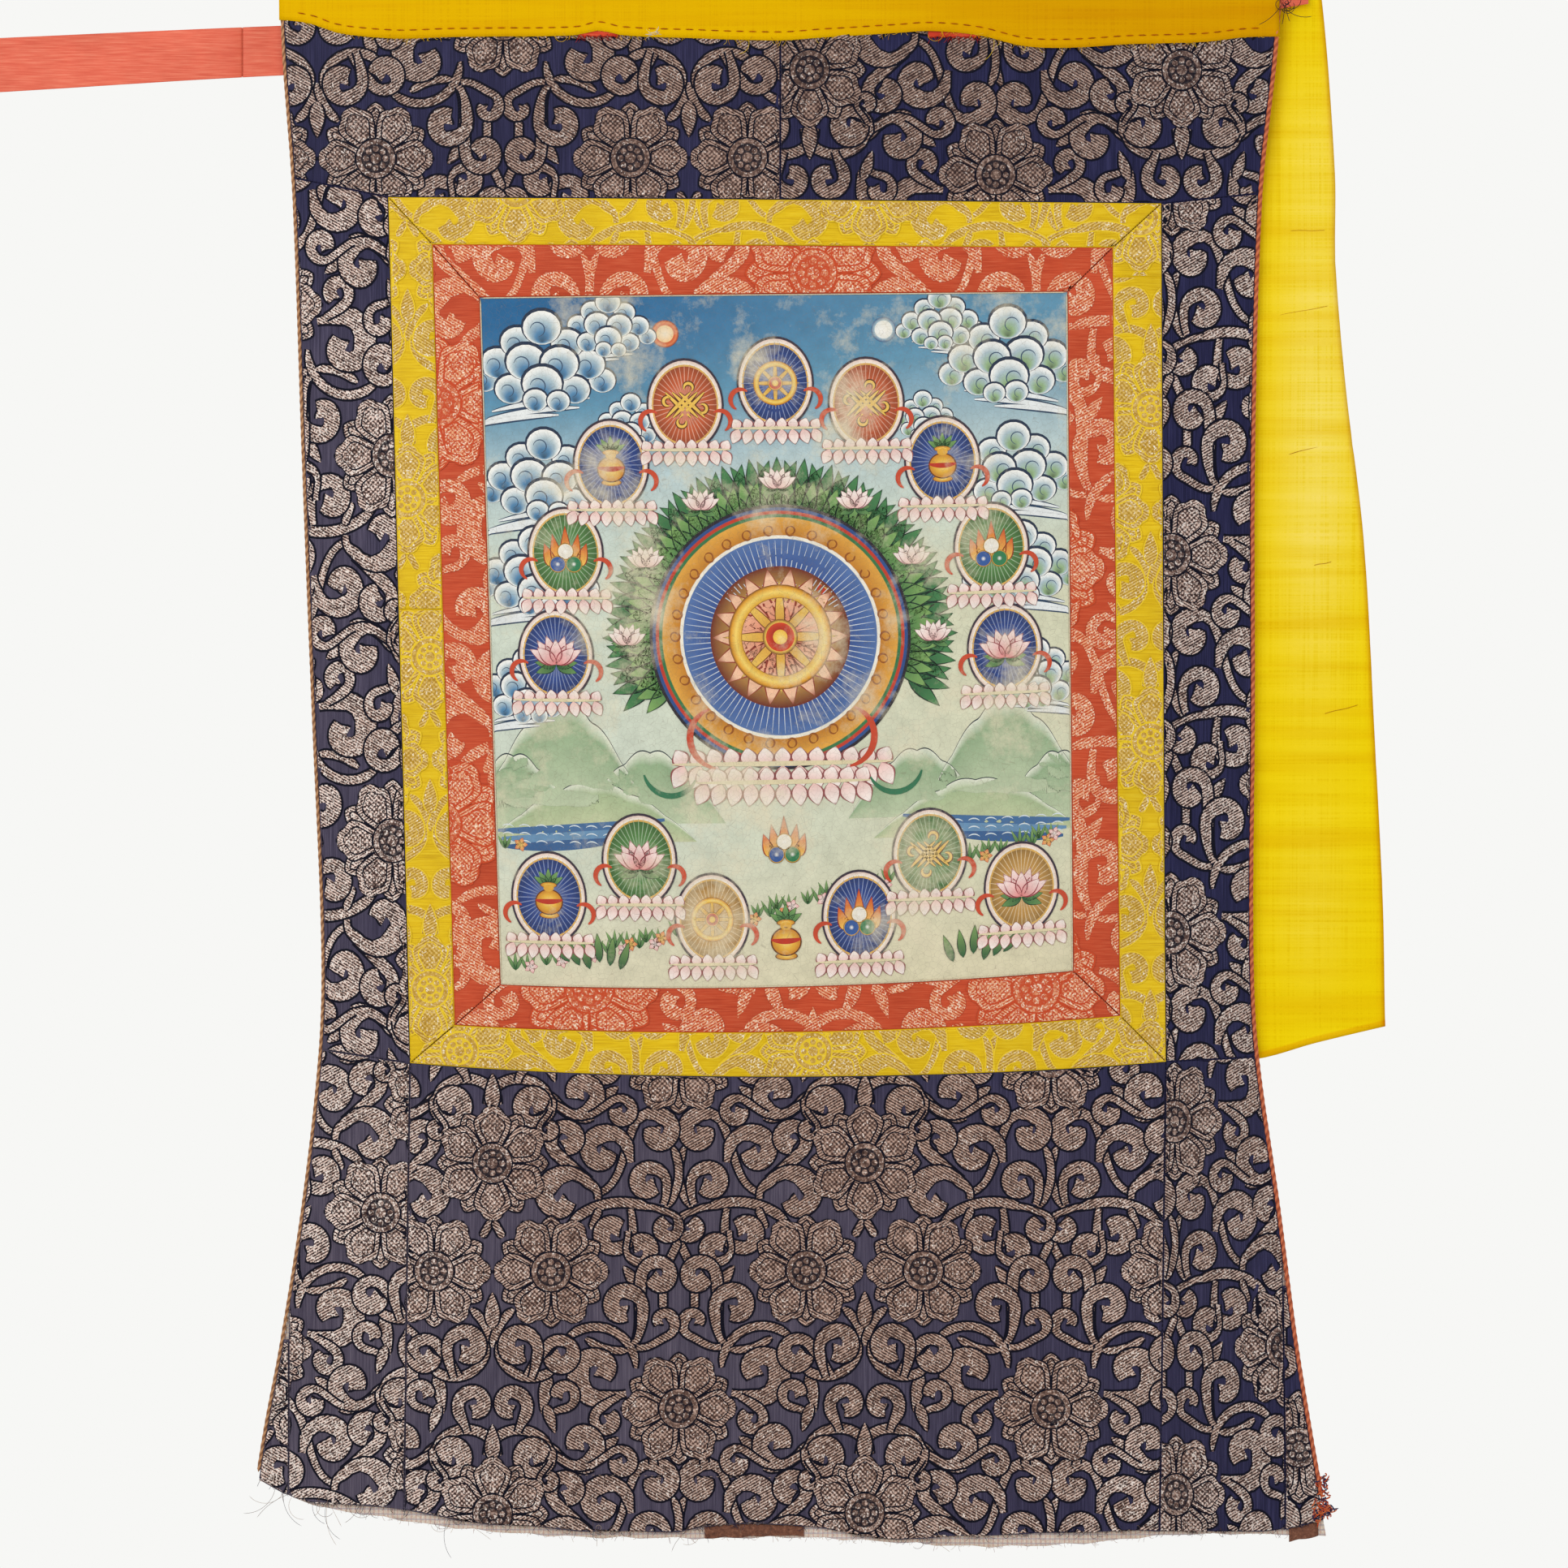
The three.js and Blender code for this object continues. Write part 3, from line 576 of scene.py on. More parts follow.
def paint_clouds(banks, core, coat):
    """Banks of scalloped cloud, from middle across and down, size and side: overlapping round puffs, white
    above and coloured below, with a dark line and a curl each, over three trailing wisps."""
    puffs = ((-1.1, 0.2, 0.3), (1.15, 0.25, 0.28), (-0.85, -0.1, 0.36), (0.9, -0.06, 0.34),
             (-0.45, -0.5, 0.36), (0.5, -0.46, 0.34), (0.02, -0.78, 0.4), (-0.6, 0.4, 0.34),
             (0.62, 0.42, 0.32), (-0.3, -0.12, 0.42), (0.34, -0.08, 0.4), (0.0, 0.3, 0.42),
             (-0.14, 0.62, 0.26), (0.3, 0.64, 0.24))
    deep, ink = tuple(int(c * 0.6) for c in core), (30, 48, 74)
    stops = ((0, deep), (0.3, core), (0.6, (176, 198, 208)), (0.78, (232, 238, 238)), (0.9, (250, 250, 246)),
             (0.905, ink), (1, ink))
    for x, z, size, side in banks:
        wisp = table(x + side * size * np.array((0.9, 0.7, 0.3)), z + size * np.array((0.6, 0.78, 0.92)),
                     90 + side * 90, size * 1.9, side * 14, size * 0.16)
        paint_strokes(wisp, (40, 66, 96), coat)
        paint_strokes(wisp * (1, 1, 1, 1, 1, 0.6), (232, 238, 240), coat + 1)
        for number, (dx, dz, share) in enumerate(puffs):
            middle, radius = (x + side * dx * size, z + dz * size), share * size
            paint_discs(middle + (radius, radius * 0.9), stops, coat + 2 + number, 18, 0.84)
            start = (middle[0] - 0.55 * side * radius, middle[1] + 0.1 * radius)
            curl = start + (90, 1.5 * radius, -side * 250, radius * 0.06)
            paint_strokes(curl, (58, 82, 110), coat + 2.5 + number)


def paint_lotus_seat(x, z, width, coat, count=9):
    """A seat of white lotus petals with pink tips: a hanging and a standing row, and a pale cushion line."""
    step = np.arange(count) - (count - 1) / 2
    size = width / count
    for lean, heading, reach in ((1, -90, 1.5), (-1, 90, 1.1)):
        rows = table(x + step * size, z, heading + lean * step * 60 / count, size * reach, size * 1.15)
        paint_petals(rows, (238, 196, 190), (248, 244, 238), (150, 84, 84), coat + (lean < 0), 0.85)
    paint_strokes((x - width * 0.52, z - size * 0.1, 0, width * 1.04, 0, size * 0.3), (226, 214, 176),
                  coat + 2)


def paint_rays(x, z, across, down, colour, coat, count=40):
    """Fine rays over an oval, each from three to nearly nine tenths of its radius."""
    turn = np.linspace(0, 360, count, endpoint=False)
    step = towards(np.radians(turn)) * (across, down)
    heading = np.degrees(np.arctan2(-step[:, 1], step[:, 0]))
    length = 0.58 * np.hypot(*step.T)
    paint_strokes(table(x + 0.3 * step[:, 0], z + 0.3 * step[:, 1], heading, length, 0, 0.75), colour, coat)


def paint_wheel(x, z, radius, coat):
    """A golden wheel: eight spokes with pointed ends between a ringed rim and a red hub."""
    rim = ((0.74, (120, 66, 24)), (0.76, (226, 172, 54)), (0.86, (246, 214, 110)), (0.95, (226, 160, 46)),
           (1, (110, 58, 24)))
    paint_discs((x, z, radius, radius), rim, coat + 1, 40)
    spokes = fan(x, z, range(0, 360, 45), radius * 1.12, radius * 0.2)
    paint_petals(spokes, (206, 140, 40), (248, 214, 106), (120, 66, 24), coat, 0.7)
    hub = ((0, (250, 220, 120)), (0.4, (240, 190, 70)), (0.42, (176, 44, 26)), (0.8, (214, 70, 38)),
           (0.82, (240, 196, 84)), (1, (112, 60, 26)))
    paint_discs((x, z, radius * 0.34, radius * 0.34), hub, coat + 2)


def paint_jewel(x, z, size, coat):
    """Three round jewels in a flame: pointed orange tongues behind blue, green and white stones."""
    tongues = [(x + dx * size, z + 0.5 * size, 90 - dx * 26, size * high, size * 0.62) for dx, high in
               ((-0.7, 1.3), (0.7, 1.3), (-0.38, 1.75), (0.38, 1.75), (0, 2.15))]
    paint_petals(tongues, (248, 206, 96), (206, 58, 28), (150, 36, 22), coat, 0.6)
    stones = ((-0.42, 0.36, (52, 92, 160)), (0.42, 0.36, (48, 128, 84)), (0, -0.3, (240, 236, 224)))
    for dx, dz, colour in stones:
        stops = ((0, (250, 250, 246)), (0.3, colour), (0.86, colour), (0.88, (226, 176, 66)),
                 (1, (110, 60, 30)))
        paint_discs((x + dx * size, z + dz * size, 0.44 * size, 0.44 * size), stops, coat + 1, 20)


def paint_bloom(x, z, size, colours, coat):
    """An open lotus: back petals, then front petals, in a fan over four green leaves."""
    low = z + 0.45 * size
    leaves = fan(x, z + 0.5 * size, (200, -20, 172, 8), size * 1.1, size * 0.5)
    paint_petals(leaves, (40, 92, 56), (110, 156, 92), (24, 58, 40), coat)
    back = fan(x, low, (150, 30, 128, 52, 108, 72), size * 1.5, size * 0.62)
    paint_petals(back, *colours, coat + 1, 0.8)
    paint_petals(fan(x, low, (138, 42, 90), size * 1.25, size * 0.66), *colours, coat + 2, 0.8)


def paint_vase(x, z, size, coat):
    """A golden vase: a round body with a red sash on a flared foot, a narrow neck, and a sprig of leaves."""
    sprig = fan(x, z - 0.7 * size, (90, 55, 125, 30, 150), size * 1.0, size * 0.4)
    paint_petals(sprig, (36, 96, 60), (128, 172, 100), (22, 60, 40), coat)
    gold = ((0, (250, 222, 130)), (0.5, (232, 180, 66)), (0.9, (206, 136, 40)), (0.92, (104, 56, 22)),
            (1, (104, 56, 22)))
    ends = ((x, z + 1.0 * size, 0.6 * size, 0.2 * size), (x, z - 0.72 * size, 0.5 * size, 0.17 * size))
    paint_discs(ends, gold, coat + 1, 20)
    paint_discs((x, z + 0.25 * size, 0.82 * size, 0.75 * size), gold, coat + 2)
    neck = (x - 0.3 * size, z - 0.55 * size, 0, 0.6 * size, 0, 0.42 * size)
    paint_strokes(neck, (226, 172, 62), coat + 3)
    sash = (x - 0.78 * size, z + 0.15 * size, -14, 1.58 * size, 28, 0.3 * size)
    paint_strokes(sash, (190, 54, 34), coat + 3)


def paint_knot(x, z, size, coat):
    """An endless knot: six crossing gold cords with a dark edge, joined by loops at their ends."""
    for extra, colour, more in ((0.13, (92, 48, 24), 0), (0, (240, 196, 88), 1)):
        cords = [(x + c * size * 0.34 - 0.62 * size * side, z - 0.62 * size, 270 + 45 * side, size * 1.75, 0,
                  size * (0.16 + extra)) for side in (1, -1) for c in (-1, 0, 1)]
        paint_strokes(cords, colour, coat + more)
        loops = [(x + dx * size * 0.9, z + dz * size * 0.9, heading, size * 0.95, 250, size * (0.14 + extra))
                 for dx, dz, heading in
                 ((-0.75, -0.35, 120), (0.75, 0.35, 300), (0.35, -0.75, 30), (-0.35, 0.75, 210))]
        paint_strokes(loops, colour, coat + more)


def paint_medallion(x, z, across, down, ground, emblem, coat):
    """An oval medallion: dark line, white and pink rim, rayed ground and its emblem, on a lotus seat."""
    deep, ink = tuple(int(c * 0.8) for c in ground), (58, 48, 62)
    pale = tuple(int(c + (255 - c) * 0.42) for c in ground)
    stops = ((0, pale), (0.5, ground), (0.82, deep), (0.825, OLD_GOLD), (0.86, OLD_GOLD),
             (0.865, (246, 240, 228)), (0.945, (232, 206, 196)), (0.95, ink), (1, ink))
    paint_lotus_seat(x, z + down * 0.98, across * 2.2, coat + 8, 8)
    paint_discs((x, z, across, down), stops, coat, 40)
    paint_rays(x, z, across, down, pale, coat + 1)
    size = across * 0.5
    if emblem == "jewel":
        paint_jewel(x, z + 0.2 * size, size, coat + 2)
    elif emblem == "lotus":
        paint_bloom(x, z, size * 1.05, ((226, 128, 128), (250, 236, 232), (150, 60, 70)), coat + 2)
    elif emblem == "vase":
        paint_vase(x, z, size * 0.9, coat + 2)
    elif emblem == "wheel":
        paint_wheel(x, z, size * 1.15, coat + 2)
    else:
        paint_knot(x, z, size * 1.05, coat + 2)
    side = np.array((-1, 1))
    scarves = table(x + side * across * 1.02, z + down * 0.55, 90 - side * 70, across * 0.9, side * 190,
                    across * 0.13)
    paint_strokes(scarves, (202, 74, 44), coat + 9)


paint_hills(((-196, 450, 74, 92), (200, 446, 70, 84), (-118, 462, 66, 62), (120, 460, 62, 58),
             (-240, 470, 60, 66), (246, 470, 54, 60)), (150, 178, 140), (190, 204, 172), 0)
paint_hills(((-170, 478, 92, 50), (172, 478, 92, 48)), (172, 192, 150), (200, 206, 168), 1)
for low, colour in enumerate(((70, 112, 160), (104, 146, 184), (58, 98, 148))):
    water = [(side * (3 * low - 256), 470 + low * 7, 90 - side * 90, 150 - low * 22, side * 8, 9)
             for side in (1, -1)]
    paint_strokes(water, colour, 3 + low)
waves = [(side * (246 - 15 * i) - 6, 466 + 7 * j, 40, 11, -80, 1.1)
         for side in (-1, 1) for i in range(8) for j in range(3)]
paint_strokes(waves, (214, 226, 232), 6)
paint_clouds(((-205, 62, 46, 1), (-206, 162, 42, 1), (-146, 28, 30, 1), (-216, 246, 40, 1),
              (-226, 346, 34, 1), (-128, 112, 24, 1)), (84, 136, 178), 7)
paint_clouds(((206, 60, 44, -1), (210, 158, 40, -1), (146, 26, 28, -1), (216, 244, 38, -1),
              (228, 342, 32, -1), (130, 110, 22, -1)), (150, 182, 138), 7)
sun = ((0, (250, 236, 214)), (0.6, (244, 206, 150)), (0.66, (206, 92, 52)), (0.85, (226, 130, 80)),
       (1, (150, 60, 40)))
moon = ((0, (252, 252, 248)), (0.7, (240, 242, 238)), (0.74, (160, 190, 206)), (1, (60, 96, 140)))
paint_discs((-96, 34, 12, 12), sun, 8)
paint_discs((96, 32, 11, 11), moon, 8)
leaf_turn = np.arange(-18, 199, 9.0)
for reach, size, angle, shades, coat in (
        (118, 40, leaf_turn, ((28, 82, 52), (78, 140, 86), (16, 44, 34)), 24),
        (106, 34, leaf_turn + 4.5, ((40, 106, 60), (138, 180, 104), (20, 54, 38)), 25)):
    foot = towards(np.radians(angle)) * reach + HUB
    for spread in (-26, 0, 26):
        paint_petals(table(*foot.T, angle + spread, size, 13), *shades, coat, 0.8)
for x, z in towards(np.radians(np.arange(0, 181, 30.0))) * 136 + HUB:
    paint_bloom(x, z, 13, ((236, 186, 182), (252, 246, 240), (140, 90, 96)), 26)
halo = [(0, (206, 70, 40)), (0.5, (190, 52, 32))]
for start, end, first, last in (
        (0.505, 0.53, OLD_GOLD, OLD_GOLD), (0.535, 0.74, (58, 88, 152), (84, 116, 172)),
        (0.745, 0.765, (240, 236, 222), (240, 236, 222)), (0.77, 0.9, (196, 128, 40), (228, 168, 70)),
        (0.905, 0.925, PINE, PINE), (0.93, 0.95, (196, 60, 38), (196, 60, 38)),
        (0.955, 0.975, (44, 80, 140), (44, 80, 140)), (0.98, 1, (40, 34, 46), (40, 34, 46))):
    halo += [(start, first), (end, last)]
paint_discs(HUB + (116, 116), halo, 30, 72)
paint_rays(*HUB, 96, 96, (206, 216, 226), 31, 90)
turn = np.arange(0, 360, 12.0)
start = towards(np.radians(turn)) * 97 + HUB
for lean, length, sweep, width in ((100, 15, 210, 1.8), (-60, 12, -200, 1.5)):
    paint_strokes(table(*start.T, turn + lean, length, sweep, width), (150, 84, 26), 31)
paint_discs(HUB + (62, 62), halo[:4] + [(1, (110, 40, 28))], 32, 60)
paint_petals(fan(*HUB, range(0, 360, 20), 60, 20), (226, 120, 90), (246, 206, 172), (150, 60, 44), 33, 1.1)
paint_wheel(*HUB, 46, 34)
paint_lotus_seat(0, 412, 190, 37, 13)
paint_lotus_seat(0, 428, 150, 40, 11)
for x, z, lean, length, sweep, width, colour in (
        (60, 414, 86, 70, 150, 6, (200, 72, 44)), (78, 424, 160, 60, 140, 5, (52, 118, 84))):
    rows = [(side * x, z, 90 - side * lean, length, side * sweep, width) for side in (-1, 1)]
    paint_strokes(rows, colour, 43)
arch_emblems = (("lotus", BLUE), ("jewel", GREEN), ("vase", BLUE), ("knot", ORANGE), ("wheel", BLUE),
                ("knot", ORANGE), ("vase", BLUE), ("jewel", GREEN), ("lotus", BLUE))
for number, (emblem, ground) in enumerate(arch_emblems):
    angle = np.radians(184 - number * 23.5)
    paint_medallion(200 * np.cos(angle), HUB[1] - 222 * np.sin(angle), 34, 41, ground, emblem, 46)
for x, z, ground, emblem in (
        (-212, 528, BLUE, "vase"), (-130, 494, GREEN, "lotus"), (-66, 546, SAND, "wheel"),
        (66, 546, BLUE, "jewel"), (130, 494, GREEN, "knot"), (212, 528, SAND, "lotus")):
    paint_medallion(x, z, 34, 41, ground, emblem, 46)
paint_jewel(0, 484, 17, 46)
paint_vase(0, 562, 17, 46)
for side in (-1, 1):
    bush = [(side * (150 + 9 * i), 590 - 3 * (i % 3), 90 + side * (20 - 12 * i), 26, 8) for i in range(6)]
    paint_petals(bush, (38, 90, 58), (128, 164, 96), (22, 52, 38), 46)
number = np.arange(46)
tufts = np.column_stack([-250 + 500 * (number * 0.618 % 1), 486 + 112 * (number * 0.381 % 1)])
for lean in (-28, 0, 28):
    paint_petals(table(*tufts.T, 90 + lean, 13 + number % 5, 3.4), (46, 104, 62), (140, 176, 108),
                 (30, 70, 46), 9)
flower_tones = (((244, 214, 120), (222, 110, 84)), ((250, 240, 232), (232, 168, 170)))
for number, (x, z) in enumerate(tufts[::2] + (14, -4)):
    paint_petals(fan(x, z, range(0, 360, 72), 6.5, 5), *flower_tones[number % 2], (140, 66, 54), 10)
points, faces = merge(coats)
share = (points[:, 0] / FIELD[0] + 0.5, points[:, 1] / FIELD[1])
inside = [np.clip(part, 0.003, 0.997) for part in share]
points[:, :2] = np.stack(between(canvas_edges, *inside), -1)
points, faces = face_viewer(points, faces)
across, drop, coat = points[:, :3].T
place = np.stack([across, hung_depth(across, drop) - 0.0005 - COAT * coat, -drop], -1)
tints = np.column_stack([points[:, 3:], np.ones(len(points))])
picture = new_piece("painted_picture", place, faces, canvas_paint, paint=tints)
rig.slot(picture, "painted_canvas")
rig.ride(picture, "root")
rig.sheet(canvas, held="stretched", rests_on=["lining"], with_pieces=[picture], **cut_size(canvas_edges))

# Red band: four strips of orange-red silk, figured in pale gold thread, mitred at the corners and sewn round
# the painting. The seams show as fine dark lines.
RED_FRAME = ((-308, 274), (296, 277), (-288, 967), (303, 959), 10)


def band_edges(outer, inner):
    """The four strips of a mitred frame between an outer and an inner frame, each as its four edges."""
    left, right, top, foot, (tl, tr, bl, br) = outer
    in_left, in_right, in_top, in_foot, (itl, itr, ibl, ibr) = inner
    return {
        "top": (line_across(tl, itl), line_across(tr, itr), top, in_top),
        "bottom": (line_across(ibl, bl), line_across(ibr, br), in_foot, foot),
        "left": (left, in_left, line_drop(tl, itl), line_drop(bl, ibl)),
        "right": (in_right, right, line_drop(itr, tr), line_drop(ibr, br)),
    }


def add_stretch(tree, place, *scale):
    """A place stretched by a scale along each axis."""
    return add_node(tree, "Mapping", {"Vector": place, "Scale": scale}).outputs[0]


def new_silk(name, dark, plain, bright, roughness):
    """A satin-weave silk: fine streaks along the weft, soft stains and a fine ribbed bump."""
    material, tree, shader, place = new_material(name, roughness, Specular_IOR_Level=0.2)
    streak = add_noise(tree, add_stretch(tree, place, 40.0, 40.0, 900.0), 1.0, 3.0)
    stain = add_noise(tree, place, 14.0, 5.0, 0.6)
    shade = add_ramp(tree, streak, (0.3, dark), (0.5, plain), (0.75, bright))
    patch = add_ramp(tree, stain, (0.3, (0.86, 0.84, 0.82, 1)), (0.65, 1.04))
    dress(tree, shader, add_mix(tree, 1.0, shade, patch, "MULTIPLY"), streak, 0.25, 0.0004)
    return material


red_edges = frame_edges(RED_FRAME)
red_silk = new_silk("red_silk", (186, 66, 36), (203, 78, 44), (213, 99, 64), 0.5)
red_bands = {}
for side, edges in band_edges(red_edges, canvas_edges).items():
    piece = new_cloth("red_cloth_" + side, "red_band_" + side, edges, (-0.001, 0.0005), red_silk, 0.006)
    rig.slot(piece, "red_silk")
    red_bands[piece] = edges

# Yellow band: the same mitred frame in yellow satin with gold scrolls, its side strips joined from two
# lengths. The scroll, six-petalled lotuses on curling stems, is charted once here for all three silks.
YELLOW_FRAME = ((-347, 232), (339, 238), (-328, 1001), (344, 1000), 12)
YELLOW_JOINS = {"left": 0.476, "right": 0.085}
YELLOW_FLOWERS = {"top": (80, 225), "bottom": (30, 990), "left_upper": (-330, 500), "left_lower": (-310, 640),
                  "right_upper": (320, 250), "right_lower": (330, 420)}
REPEAT = (330, 311)  # the scroll's repeat across and down; its left half is charted and mirrored
LEAVES = np.array([  # head across and down, its radius, tail across and down, heading, sweep, reach, stem
    (-148.5, -25.5, 14, -95, 29, 160, 365, 1.5, 0.45), (-95, -8, 14, -120, 0, 82, -350, 1.45, 0.72),
    (-67, -22, 13.8, -88, 13, 40, 330, 0.85, 0.72), (-58.5, 34, 14.1, -91, 32, 92, -318, 1.85, 0.62),
    (-136, 17, 13.8, -149, 36, 112, -338, 1.1, 0.5), (-154, 58.5, 11, -136, 41, 180, 341, 1.1, 0.42),
    (-105, 62, 14.6, -120, 41, -100, 330, 1.1, 0.45), (-132.5, 76.5, 13.6, -122, 60, -95, -330, 0.9, 0.3),
    (-149, 101, 13.1, -128, 161, 112, 343, 0.95, 0.72), (-113, 127, 13.8, -125, 157, 118, -312, 1.15, 0.68),
    (-150, 139, 7.8, -128, 161, 190, -296, 1.6, 0.75), (-94, 181, 15.1, -118, 202, -8, 330, 1.4, 0.95),
    (-101.5, 228.5, 11, -112, 210, -25, -294, 0.8, 0.7), (-61, 171, 14.8, -32, 190, 120, 321, 0.75, 0.6),
    (-20.5, 163, 14.4, -32, 190, 110, -326, 1.1, 0.6), (-62.5, 204, 10.1, -54, 218, 150, -270, 1.0, 0.6),
    (-14, 214, 11.7, -20, 238, 105, -310, 1.05, 0.85), (-80.5, 247, 14.6, -52, 250, -120, -343, 1.38, 0.45),
    (-115, 266.5, 11.1, -87, 271, 155, 327, 1.0, 0.5), (-35.5, 259.5, 15.9, -51, 255, -92, 356, 0.8, 0.5),
    (-50, 281.5, 8.2, -53, 264, -70, -300, 0.9, 0.4)])
VINES = np.array([  # start across and down, heading, length, turn, width
    (-142, 41, 28, 80, -70, 8.0), (-159, -15, -122, 60, 72, 6.3), (-127, 182, 97, 88, -140, 6.9),
    (-120, 166, -8, 40, 45, 5.8), (0, 163, 95, 40, 45, 6.7), (-57, 179, -57, 75, 148, 7.5),
    (-90, 271, -8, 48, 70, 8.0), (-52, 256, 75, 78, -145, 8.0), (-1, 51, -120, 17, 0, 5.8),
    (-141, 254, -97, 17, 0, 6.3), (-95, 40, -66, 20, -5, 5.8), (-151, 111, -90, 19, 0, 6.3),
    (-165, 69, -64, 22, 0, 6.3)])
BLADES = np.array([  # foot across and down, heading, length, width
    (-130, 110, 53, 24, 9.5), (0, 147, 90, 33, 12.6), (-98, 253, 144, 17, 8.0), (0, 265, 90, 34, 12.8),
    (-50, 185, -80, 38, 11.0), (-47, 213, -108, 28, 9.0)])
FLOWERS = ((0, 0, 90), (-52, 96, 0), (-165, 218, 0))  # middle across and down, heading of a petal


def leaf_edges(rows, samples=33):
    """A curled leaf's inner and outer edge. The stem leaves the tail along its heading by a cubic step,
    swells from slim, and meets as a tangent a circle round the head, its reach in head radii. From there
    both edges wind round the head's middle: the inner one in to a short hook and the middle, where its dark
    line fades out, the outer one in to the head's rim; past the sweep, where the lip ends, the outer edge
    drops to half to close the head."""
    head, radius, tail, heading, sweep, reach, stem = np.split(rows, (2, 3, 5, 6, 7, 8), axis=1)
    side, sweep = np.sign(sweep), np.abs(sweep)
    gap = head - tail
    far = np.linalg.norm(gap, axis=1, keepdims=True)
    wide = np.minimum(reach * radius, 0.97 * far)
    aim = np.arctan2(-gap[:, 1:], gap[:, :1]) - side * np.arcsin(wide / far)
    touch = tail + np.sqrt(far**2 - wide**2) * towards(aim[:, 0])
    half = samples // 3
    s = np.linspace(0, 1, half)[None, :, None]
    leave, arrive = ((far * towards(turn))[:, None] for turn in (np.radians(heading[:, 0]), aim[:, 0]))
    path = lerp(tail[:, None], touch[:, None], s * s * (3 - 2 * s))
    path = path + s * (1 - s) ** 2 * leave - s * s * (1 - s) * arrive
    along = np.gradient(path, axis=1)
    along /= np.maximum(np.linalg.norm(along, axis=-1, keepdims=True), 1e-9)
    beside = np.stack([-along[..., 1], along[..., 0]], -1) * side[:, None]
    thick = stem * radius
    swell = lerp(np.minimum(thick, 5)[:, None], thick[:, None], smooth(s, 0, 0.9))
    first = np.arctan2(-(touch - head)[:, 1:], (touch - head)[:, :1])
    turn = np.linspace(0, 1, samples - half + 1)[1:] * (sweep + 62)
    ray = towards(first + np.radians(turn) * side)
    hook = lerp(wide, 0.62 * radius, smooth(turn, 0, 70)) * (1 - smooth(turn, 78, 140))
    rim = lerp(wide + thick, 1.04 * radius, smooth(turn, -10, 205))
    rim = lerp(rim, 0.5 * radius, smooth(turn, sweep - 6, sweep + 14))
    inner = np.concatenate([path, head[:, None] + hook[..., None] * ray], 1)
    outer = np.concatenate([path + beside * swell, head[:, None] + rim[..., None] * ray], 1)
    return inner, outer, np.concatenate([np.ones(path.shape[:2]), 1 - smooth(turn, 92, 122)], 1)


def blade_edges(rows, samples=12):
    """A pointed blade's middle line and edge offset: half its width times the sine of pi s to the 0.75."""
    s = np.linspace(0, 1, samples)[None, :, None]
    angle = np.radians(rows[:, 2])
    path = rows[:, None, :2] + s * rows[:, 3, None, None] * towards(angle)[:, None]
    beside = towards(angle + np.pi / 2)[:, None] * rows[:, 4, None, None] / 2 * np.sin(np.pi * s**0.75)
    return path - beside, path + beside


def petal_width(radius, foot, body, tip):
    """Half width of a lotus petal against the distance from its flower: the widest of a flared foot, given by
    two distances and widths, and a round body and tip, given by middle, half length and half width."""
    bulge = lambda middle, half, width: width * np.sqrt(np.clip(1 - ((radius - middle) / half) ** 2, 0, 1))
    flare = np.interp(radius, foot[::2], foot[1::2]) * (radius < foot[2] + 2)
    return np.maximum(np.maximum(flare, bulge(*body)), bulge(*tip))


def weave_strip(inner, outer, cuts, lift, metal, lattice, lean):
    """A strip of figure between two edges, cut across at the given shares. Its values are across, down,
    height above the ground, metal (1) or dark line (0), lattice, and which way its hatching leans."""
    place = inner[:, :, None] + (outer - inner)[:, :, None] * np.array(cuts)[:, None]
    height = np.asarray(lift, float).reshape(-1, 1, 1)
    rest = [np.broadcast_to(value, place.shape[:3]) for value in (height, metal, lattice, lean)]
    return np.concatenate([place, np.stack(rest, -1)], -1)


def grow(inner, outer, by):
    """Two edges moved apart by a distance on each side."""
    gap = outer - inner
    unit = gap / np.maximum(np.linalg.norm(gap, axis=-1, keepdims=True), 1e-6)
    return inner - unit * by, outer + unit * by


def outlined(inner, outer, lift, line, inked=1.0):
    """Figures between two edges, each a little above the one before it, with a dark line along both edges,
    along the inner one only where it is inked."""
    step = lift + 0.015 * np.arange(len(inner))
    rows = [weave_strip(inner, outer, (0, 0.5, 1), step, 1, 0, 1)]
    if line:
        near = grow(inner, outer, line * np.broadcast_to(inked, inner.shape[:2])[..., None])[0]
        far = grow(inner, outer, line)[1]
        rows += [weave_strip(*edges, (0, 1), step, 0, 0, 1) for edges in ((near, inner), (outer, far))]
    return rows


def chart_scroll(line):
    """One repeat of the scroll as grids of points in millimetres from the first flower: curled leaves with a
    dark vein, stems, blades and flowers, with a dark line of a width round each; what isn't on an axis is
    mirrored."""
    *leaf, inked = leaf_edges(LEAVES)
    vine = vine_edges(VINES)
    slim = np.clip(3 * np.sin(np.linspace(0, np.pi, 14)), 0.3, 1)[:, None]
    vine = [lerp((vine[0] + vine[1]) / 2, edge, slim) for edge in vine]
    on_axis = BLADES[:, 0] == 0
    grids = outlined(*blade_edges(BLADES[~on_axis]), 0.12, line) + outlined(*vine, 0.16, line)
    grids += outlined(*leaf, 0.3, line, inked)
    if line:
        vein = lerp(*leaf, 0.52)[:, 6:-6]
        side = grow(vein, vein + 1e-3 * (leaf[1] - leaf[0])[:, 6:-6], 0.3)
        grids.append(weave_strip(*side, (0, 1), 0.314 + 0.015 * np.arange(len(vein)), 0.55, 0, 1))
    grids += chart_flower(*FLOWERS[1])
    grids += [grid * (-1, 1, 1, 1, 1, -1) + (0, 0, 0.0075, 0, 0, 0) for grid in grids]
    grids += chart_flower(*FLOWERS[0]) + chart_flower(*FLOWERS[2])
    return grids + outlined(*blade_edges(BLADES[on_axis]), 0.64, line)


